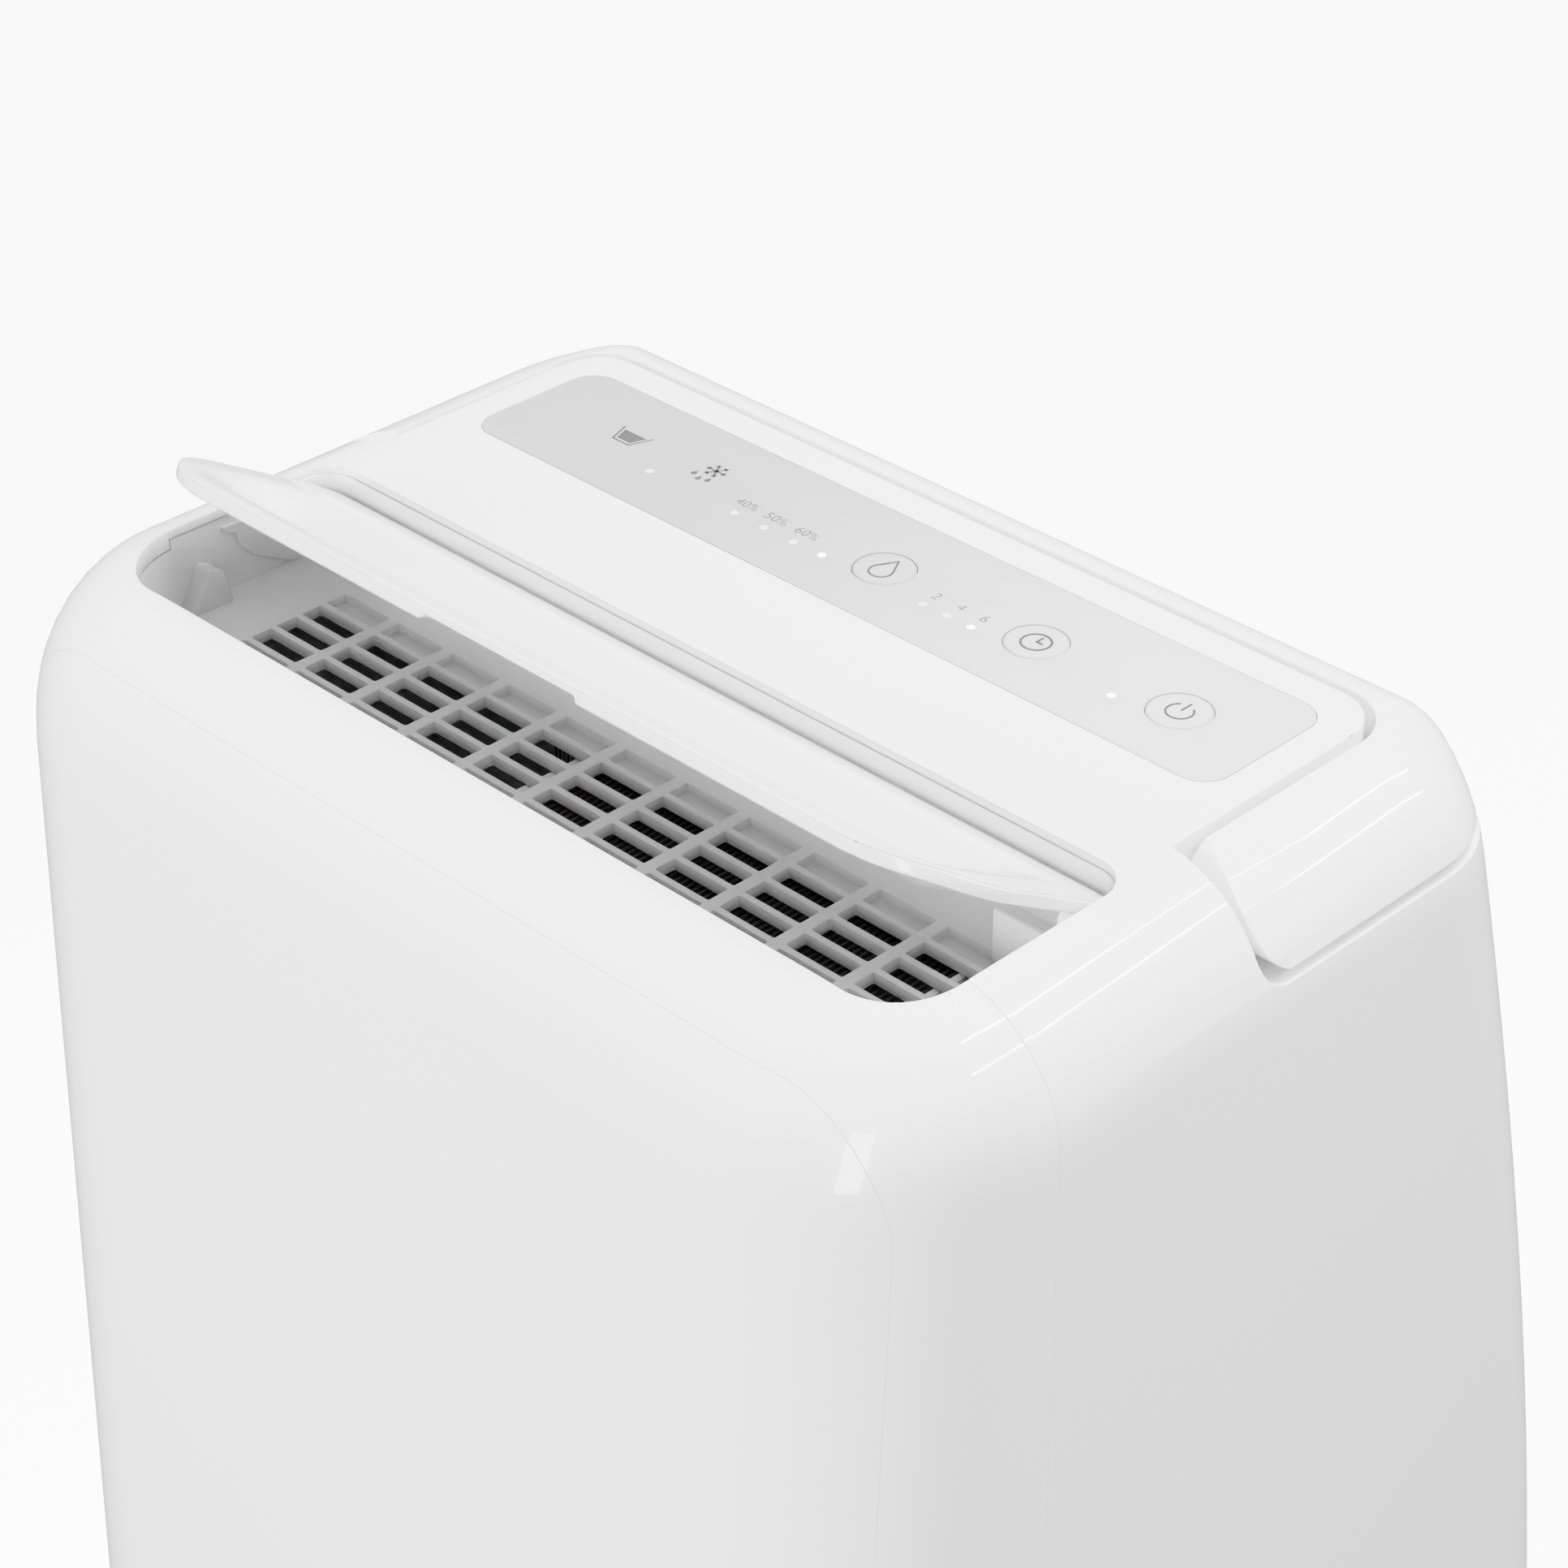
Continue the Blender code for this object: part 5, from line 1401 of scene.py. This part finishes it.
    def handle(self) -> None:
        """Make the U-shaped carry handle that is the casing's rear top edge."""
        form, far = self.form, (-FAR, FAR)
        top = form.deck_z
        bail = form.solid("handle_bail")
        y, r = form.control_y, self.deck_corner_r
        island = rounded(-self.handle_half_x, self.handle_half_x, -FAR, y + self.handle_back,
                         (0, 0, r + 0.003, r + 0.003))
        pivot = (y + self.handle_pivot[0], top + self.handle_pivot[1])
        cut(bail, prism("bail_inside", island, -0.1, top + Z_ROOM),
            form.slice("bail_below", far, far, (-0.1, top - self.handle_drop)))
        front = form.slice("bail_front", far, (-FAR, pivot[0]), (-0.1, top + 0.1))
        cut(bail, cut(front, drum("bail_nose", (0, *pivot), self.handle_nose_r, 1.0, Axis.X, steps=96)))
        wall = self.handle_wall
        inner = rounded(-self.handle_half_x - wall, self.handle_half_x + wall, -FAR,
                        y + self.handle_back + wall,
                        (0, 0, r + 0.006, r + 0.006))
        hollow = cut(form.solid("bail_hollow", wall), prism("hollow_inside", inner, -0.1, top + Z_ROOM),
                     form.slice("hollow_front", far, (-FAR, pivot[0] + 0.012), (-0.1, top + 0.1)),
                     form.slice("hollow_low", far, far, (-0.1, top - self.handle_drop - 0.005)))
        cut(bail, hollow)
        join(bail, *[drum(f"pivot_pin_{s}", (s * (self.handle_half_x - 0.0015), *pivot), self.pivot_pin_r,
                          0.009, Axis.X) for s in (-1, 1)])
        soften(bail, self.edge, 2, 40)
        match_surface(bail, form.solid("handle_surface"))
        dress(bail, Look.CASING, "carry_handle", "carry_handle")


# ---------------------------------------------------------------- back, tank, casters and small parts


@dataclass(frozen=True)
class Rear:
    """Intake grille, water tank and the small parts on the back."""

    form: CasingForm
    casing: Casing
    slot_rows: int = 13
    slot_columns: int = 2
    slot_share: float = 0.62
    tank_front_y: float = 0.0130
    tank_wall: float = 0.0030

    def build(self) -> None:
        """Make every piece of the back."""
        self.intake()
        self.tank()
        self.small_parts()

    def intake(self) -> None:
        """Make the intake grille with round-ended slots."""
        form, casing = self.form, self.casing
        low, high = casing.filter_z
        half = casing.filter_half_x
        grille = cut(form.solid("intake_grille"), form.solid("intake_core", form.skin))
        keep(grille, form.slice("intake_area", (-half, half), (0.03, FAR), (low, high)))
        pitch = (high - low - 0.020) / self.slot_rows
        width = (2 * half - 0.028) / self.slot_columns
        dx, dz = (width - 0.006) / 2, pitch * self.slot_share / 2
        bm = bmesh.new()
        for row in range(self.slot_rows):
            for column in range(self.slot_columns):
                x, z = -half + 0.014 + width * (column + 0.5), low + 0.010 + pitch * (row + 0.5)
                corners = rounded(x - dx, x + dx, z - dz, z + dz, (dz * 0.6,) * 4, 4)
                face = bm.faces.new([bm.verts.new((u, 0.03, v)) for u, v in corners])
                grown = bmesh.ops.extrude_face_region(bm, geom=[face])["geom"]
                bmesh.ops.translate(bm, verts=[v for v in grown if isinstance(v, bmesh.types.BMVert)],
                                    vec=(0, 0.2, 0))
        cut(grille, wrap("intake_slots", bm))
        soften(grille, 0.0005, 2, 40)
        match_surface(grille, form.solid("intake_surface"))
        dress(grille, Look.GRILLE, "filter_cartridge", "rear_grille")

    def tank(self) -> None:
        """Make the water tank with its finger scoop."""
        form, casing, wall = self.form, self.casing, self.tank_wall
        low, high = casing.tank_z
        half = casing.tank_half_x
        bucket = keep(form.solid("tank_bucket"),
                      form.slice("tank_outer", (-half, half), (self.tank_front_y, FAR), (low, high)))
        hollow = keep(form.solid("tank_hollow", wall),
                      form.slice("tank_inner", (-half + wall, half - wall), (self.tank_front_y + wall, FAR),
                                 (low + wall, high + 0.02)))
        cut(bucket, hollow)
        grip = rounded(-0.045, 0.045, 0.180, 0.205, (0.008,) * 4)
        cut(bucket, prism("tank_grip", grip, form.back_y - 0.02, form.back_y + 0.02, Axis.Y))
        scoop = prism("tank_scoop", [(-0.050, 0.172), (0.050, 0.172), (0.050, 0.213), (-0.050, 0.213)],
                      form.back_y - 0.024, form.back_y - 0.0015, Axis.Y)
        keep(scoop, form.solid("scoop_limit", 0.0005))
        join(bucket, scoop)
        cut(bucket, prism("scoop_hollow", grip, form.back_y - 0.0215, form.back_y + 0.02, Axis.Y))
        soften(bucket, 0.0006, 2, 40)
        match_surface(bucket, form.solid("tank_surface"))
        dress(bucket, Look.TANK, "water_tank", "water_tank")

    def small_parts(self) -> None:
        """Make the drain cap, the lead's gland and the case screws."""
        form, casing = self.form, self.casing
        x, y, z = casing.drain
        profile = [(0.0, -0.0020), (0.0072, -0.0020), (0.0078, -0.0014), (0.0078, 0.0085), (0.0100, 0.0085),
                   (0.0105, 0.0090), (0.0105, 0.0110), (0.0101, 0.0115), (0.0060, 0.0115), (0.0054, 0.0104),
                   (0.0, 0.0104)]
        cap = turned("drain_cap_turned", (x, y, z), profile, Axis.Y)
        join(cap, box("drain_cap_web", (x - 0.0009, y + 0.0100, z - 0.0056),
                      (x + 0.0009, y + 0.0114, z + 0.0056)))
        dress(soften(cap, 0.00025), Look.BLACK, "drain_cap", "drain_cap")
        x, y, z = casing.gland
        profile = [(0.0032, -0.0080), (0.0054, -0.0080), (0.0058, -0.0076), (0.0058, 0.0040),
                   (0.0055, 0.0060),
                   (0.0044, 0.0071), (0.0032, 0.0072)]
        dress(soften(turned("gland_turned", (x, y, z), profile, Axis.Y), 0.0002), Look.RUBBER, "cabinet",
              "cord_gland")
        for i, (x, z) in enumerate(casing.screws):
            y = form.back_line(z)
            profile = [(0.0, -0.0130), (0.0018, -0.0130), (0.0018, -0.0020), (0.0038, -0.0020),
                       (0.0038, -0.0006),
                       (0.0034, 0.0002), (0.0022, 0.0008), (0.0, 0.0010)]
            screw = turned(f"screw_{i + 1}", (x, y, z), profile, Axis.Y)
            cut(screw, box("cross_a", (x - 0.0020, y - 0.0008, z - 0.0004),
                           (x + 0.0020, y + 0.0020, z + 0.0004)),
                box("cross_b", (x - 0.0004, y - 0.0008, z - 0.0020), (x + 0.0004, y + 0.0020, z + 0.0020)))
            dress(soften(screw, 0.0001), Look.ZINC, "cabinet", f"case_screw_{i + 1}")


@dataclass(frozen=True)
class Caster:
    """One swivel caster: a plate, a stem, two cheeks, an axle and a wheel."""

    name: str
    x: float
    y: float
    radius: float = 0.0125
    trail: float = 0.0085
    plate_z: float = 0.0340
    wheel_w: float = 0.0140

    def build(self) -> None:
        """Make the fork and the wheel."""
        self.fork()
        self.wheel()

    def fork(self) -> None:
        """Make the fork with its cheeks, stem and axle."""
        wheel_y = self.y + self.trail
        fork = drum(self.name + "_frame", (self.x, self.y, self.plate_z), 0.0130, 0.0030, edge=0.0006)
        cheeks = []
        for side in (-1, 1):
            outline = [(self.y - 0.0080, self.plate_z), (self.y + 0.0080, self.plate_z),
                       (wheel_y + 0.0045, self.radius + 0.002), (wheel_y + 0.0030, self.radius - 0.0040),
                       (wheel_y - 0.0030, self.radius - 0.0040), (wheel_y - 0.0050, self.radius + 0.002)]
            middle = self.x + side * 0.0087
            cheeks.append(prism(f"{self.name}_cheek_{side}", outline, middle - 0.0010, middle + 0.0010,
                                Axis.X))
        join(fork, drum(self.name + "_stem", (self.x, self.y, self.plate_z + 0.0030), 0.0040, 0.0080),
             *cheeks,
             drum(self.name + "_axle", (self.x, wheel_y, self.radius), 0.0020, 0.0174, Axis.X))
        dress(soften(fork, 0.0004), Look.BLACK, self.name + "_fork", self.name + "_fork")

    def wheel(self) -> None:
        """Make the wheel: a rounded tread round a stepped hub."""
        r, w = self.radius, self.wheel_w / 2
        profile = [(0.0023, -w + 0.0006), (0.0045, -w + 0.0006), (0.0050, -w + 0.0016), (0.0086, -w + 0.0016),
                   (0.0092, -w + 0.0002), (r - 0.0018, -w), (r - 0.0007, -w + 0.0006),
                   (r - 0.0001, -w + 0.0016),
                   (r, 0.0), (r - 0.0001, w - 0.0016), (r - 0.0007, w - 0.0006), (r - 0.0018, w),
                   (0.0092, w - 0.0002), (0.0086, w - 0.0016), (0.0050, w - 0.0016), (0.0045, w - 0.0006),
                   (0.0023, w - 0.0006)]
        tread = turned(self.name + "_tread", (self.x, self.y + self.trail, r), profile, Axis.X, 56)
        tread.data.shade_smooth()
        tread.data.set_sharp_from_angle(angle=math.radians(38))
        dress(tread, Look.RUBBER, self.name + "_wheel", self.name + "_wheel")


@dataclass(frozen=True)
class Carried:
    """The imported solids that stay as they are, each with a finish."""

    looks: tuple[tuple[str, Look], ...] = (
        ("filter_frame", Look.BLACK), ("filter_mesh_left", Look.NET),
        ("filter_mesh_right", Look.NET), ("base_pan", Look.INNER), ("partition", Look.INNER),
        ("scroll_housing", Look.INNER), ("electrical_box", Look.INNER), ("blower_wheel", Look.BLACK),
        ("humidity_sensor", Look.BLACK), ("float_switch", Look.BLACK), ("fan_motor", Look.ZINC),
        ("compressor", Look.PAINT), ("compressor_mount_1", Look.RUBBER), ("compressor_mount_2", Look.RUBBER),
        ("compressor_mount_3", Look.RUBBER), ("condenser", Look.FINS), ("evaporator", Look.FINS),
        ("run_capacitor", Look.CAN), ("suction_line", Look.COPPER), ("control_board", Look.BOARD),
        ("main_board", Look.BOARD), ("drip_tray", Look.GRILLE), ("tank_lid", Look.GRILLE),
        ("tank_float", Look.FOAM))

    def build(self) -> None:
        """Finish each carried solid, and report any that has none."""
        finished = dict(self.looks)
        for name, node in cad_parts.items():
            if node.hide_render:
                continue
            look = finished.get(name)
            if look is None:
                LOG.warning("%s has no finish", name)
                continue
            node.data.materials.clear()
            node.data.materials.append(look.material())
            LOG.info("%s is carried over in %s", name, look.value.name)


# ---------------------------------------------------------------- studio


@dataclass(frozen=True)
class Studio:
    """Pale floor, soft lights and the camera."""

    form: CasingForm
    lens: float = 86.93
    sensor: float = 36.0
    camera_from_controls: Point3 = (0.60075, -0.63525, 0.49416)
    pitch: float = 57.15
    heading: float = 44.88
    world: float = 0.98
    floor_glow: float = 9.0
    floor_color: Point3 = (0.93, 0.93, 0.93)

    def build(self) -> None:
        """Make the camera, the floor, the world and the lights."""
        self.camera()
        self.floor()
        self.sky()
        self.spot("key_front_left", (-1.3, -2.7, 1.25), (0, 0, 0.33), 28.0, 0.40, 1250.0)
        self.spot("top_soft", (0.1, 0.7, 2.5), (0, 0, 0.5), 32.0, 0.45, 1150.0)
        self.area("strip_inner", (0.80, 1.3, 2.25), (0, 1.3, 0.5), (2.6, 0.05), 60.0)
        self.area("strip_outer", (1.25, 1.1, 1.75), (0, 1.1, 0.5), (2.6, 0.05), 48.0)
        self.area("fill_front_right", (1.15, -2.10, 0.75), (0, 0, 0.35), (0.40, 1.5), 60.0)

    def camera(self) -> None:
        """Make the camera."""
        data = bpy.data.cameras.new("camera")
        data.lens = self.lens
        data.sensor_width = self.sensor
        data.clip_start = 0.01
        holder = bpy.data.objects.new("camera", data)
        dx, dy, dz = self.camera_from_controls
        holder.location = (dx, self.form.control_y + dy, self.form.deck_z + dz)
        holder.rotation_euler = (math.radians(self.pitch), 0, math.radians(self.heading))
        bpy.context.scene.collection.objects.link(holder)
        bpy.context.scene.camera = holder

    def floor(self) -> None:
        """Make the floor, which sweeps up far behind the machine on every side."""
        profile = [(0.0, 0.0)] + [(0.5 * 2 ** i, 0.0) for i in range(5)]
        profile += [(8.0 + 4.0 * math.sin(math.radians(a)), 4.0 - 4.0 * math.cos(math.radians(a)))
                    for a in range(10, 91, 10)] + [(12.0, 14.0), (0.0, 14.0)]
        ground = turned("studio_floor", (0.0, 0.0, -0.0002), profile, steps=64)
        ground.data.flip_normals()
        ground.data.shade_smooth()
        shader = Shader("studio_floor")
        cloud = shader.noise(1.5, 1.0)
        shader.fix(Base_Color=shader.mix(cloud, shade(self.floor_color, 0.995), self.floor_color),
                   Roughness=0.6,
                   Emission_Color=(*self.floor_color, 1.0), Emission_Strength=self.floor_glow)
        ground.data.materials.append(shader.material)
        ground.visible_diffuse = False
        ground.visible_glossy = False
        ground.visible_shadow = False

    def sky(self) -> None:
        """Make the even light that comes from all round."""
        world = bpy.data.worlds.new("studio")
        world.use_nodes = True
        back = world.node_tree.nodes["Background"]
        back.inputs["Color"].default_value = (1.0, 1.0, 1.0, 1.0)
        back.inputs["Strength"].default_value = self.world
        bpy.context.scene.world = world

    def area(self, name: str, place: Point3, target: Point3, size: Point2, watts: float) -> None:
        """Make one soft rectangular light that points at a target.

        Args:
            name: What the new object is called.
            place: Where the light is.
            target: The point that it shines at.
            size: Its width and height.
            watts: Its power.
        """
        data = bpy.data.lights.new(name, "AREA")
        data.shape = "RECTANGLE"
        data.size, data.size_y = size
        data.energy = watts
        lamp = bpy.data.objects.new(name, data)
        lamp.location = place
        lamp.rotation_euler = (Vector(target) - Vector(place)).to_track_quat("-Z", "Y").to_euler()
        bpy.context.scene.collection.objects.link(lamp)

    def spot(self, name: str, place: Point3, target: Point3, cone: float, radius: float,
             watts: float) -> None:
        """Make one round soft light whose cone keeps to the machine.

        Args:
            name: What the new object is called.
            place: Where the light is.
            target: The point that it shines at.
            cone: The cone's full angle, in degrees.
            radius: The size of the lamp.
            watts: Its power.
        """
        data = bpy.data.lights.new(name, "SPOT")
        data.spot_size = math.radians(cone)
        data.spot_blend = 0.9
        data.shadow_soft_size = radius
        data.energy = watts
        lamp = bpy.data.objects.new(name, data)
        lamp.visible_glossy = False
        lamp.location = place
        lamp.rotation_euler = (Vector(target) - Vector(place)).to_track_quat("-Z", "Y").to_euler()
        bpy.context.scene.collection.objects.link(lamp)


def main() -> None:
    """Build every sub-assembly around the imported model."""
    logging.basicConfig(level=logging.INFO, format="%(name)s: %(message)s")
    button_low, button_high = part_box("power_button")
    form = CasingForm(deck_z=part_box("control_overlay")[1].z, control_y=(button_low.y + button_high.y) / 2)
    controls = Controls(form)
    outlet = Outlet(form)
    casing = Casing(form, controls, outlet)
    casing.build()
    controls.build()
    outlet.build()
    Rear(form, casing).build()
    for row, y in (("front", -0.1100), ("rear", 0.1150)):
        for side, x in (("left", -0.1370), ("right", 0.1370)):
            Caster(f"caster_{row}_{side}", x, y).build()
    Carried().build()
    Studio(form).build()


if __name__ == "__main__":
    main()
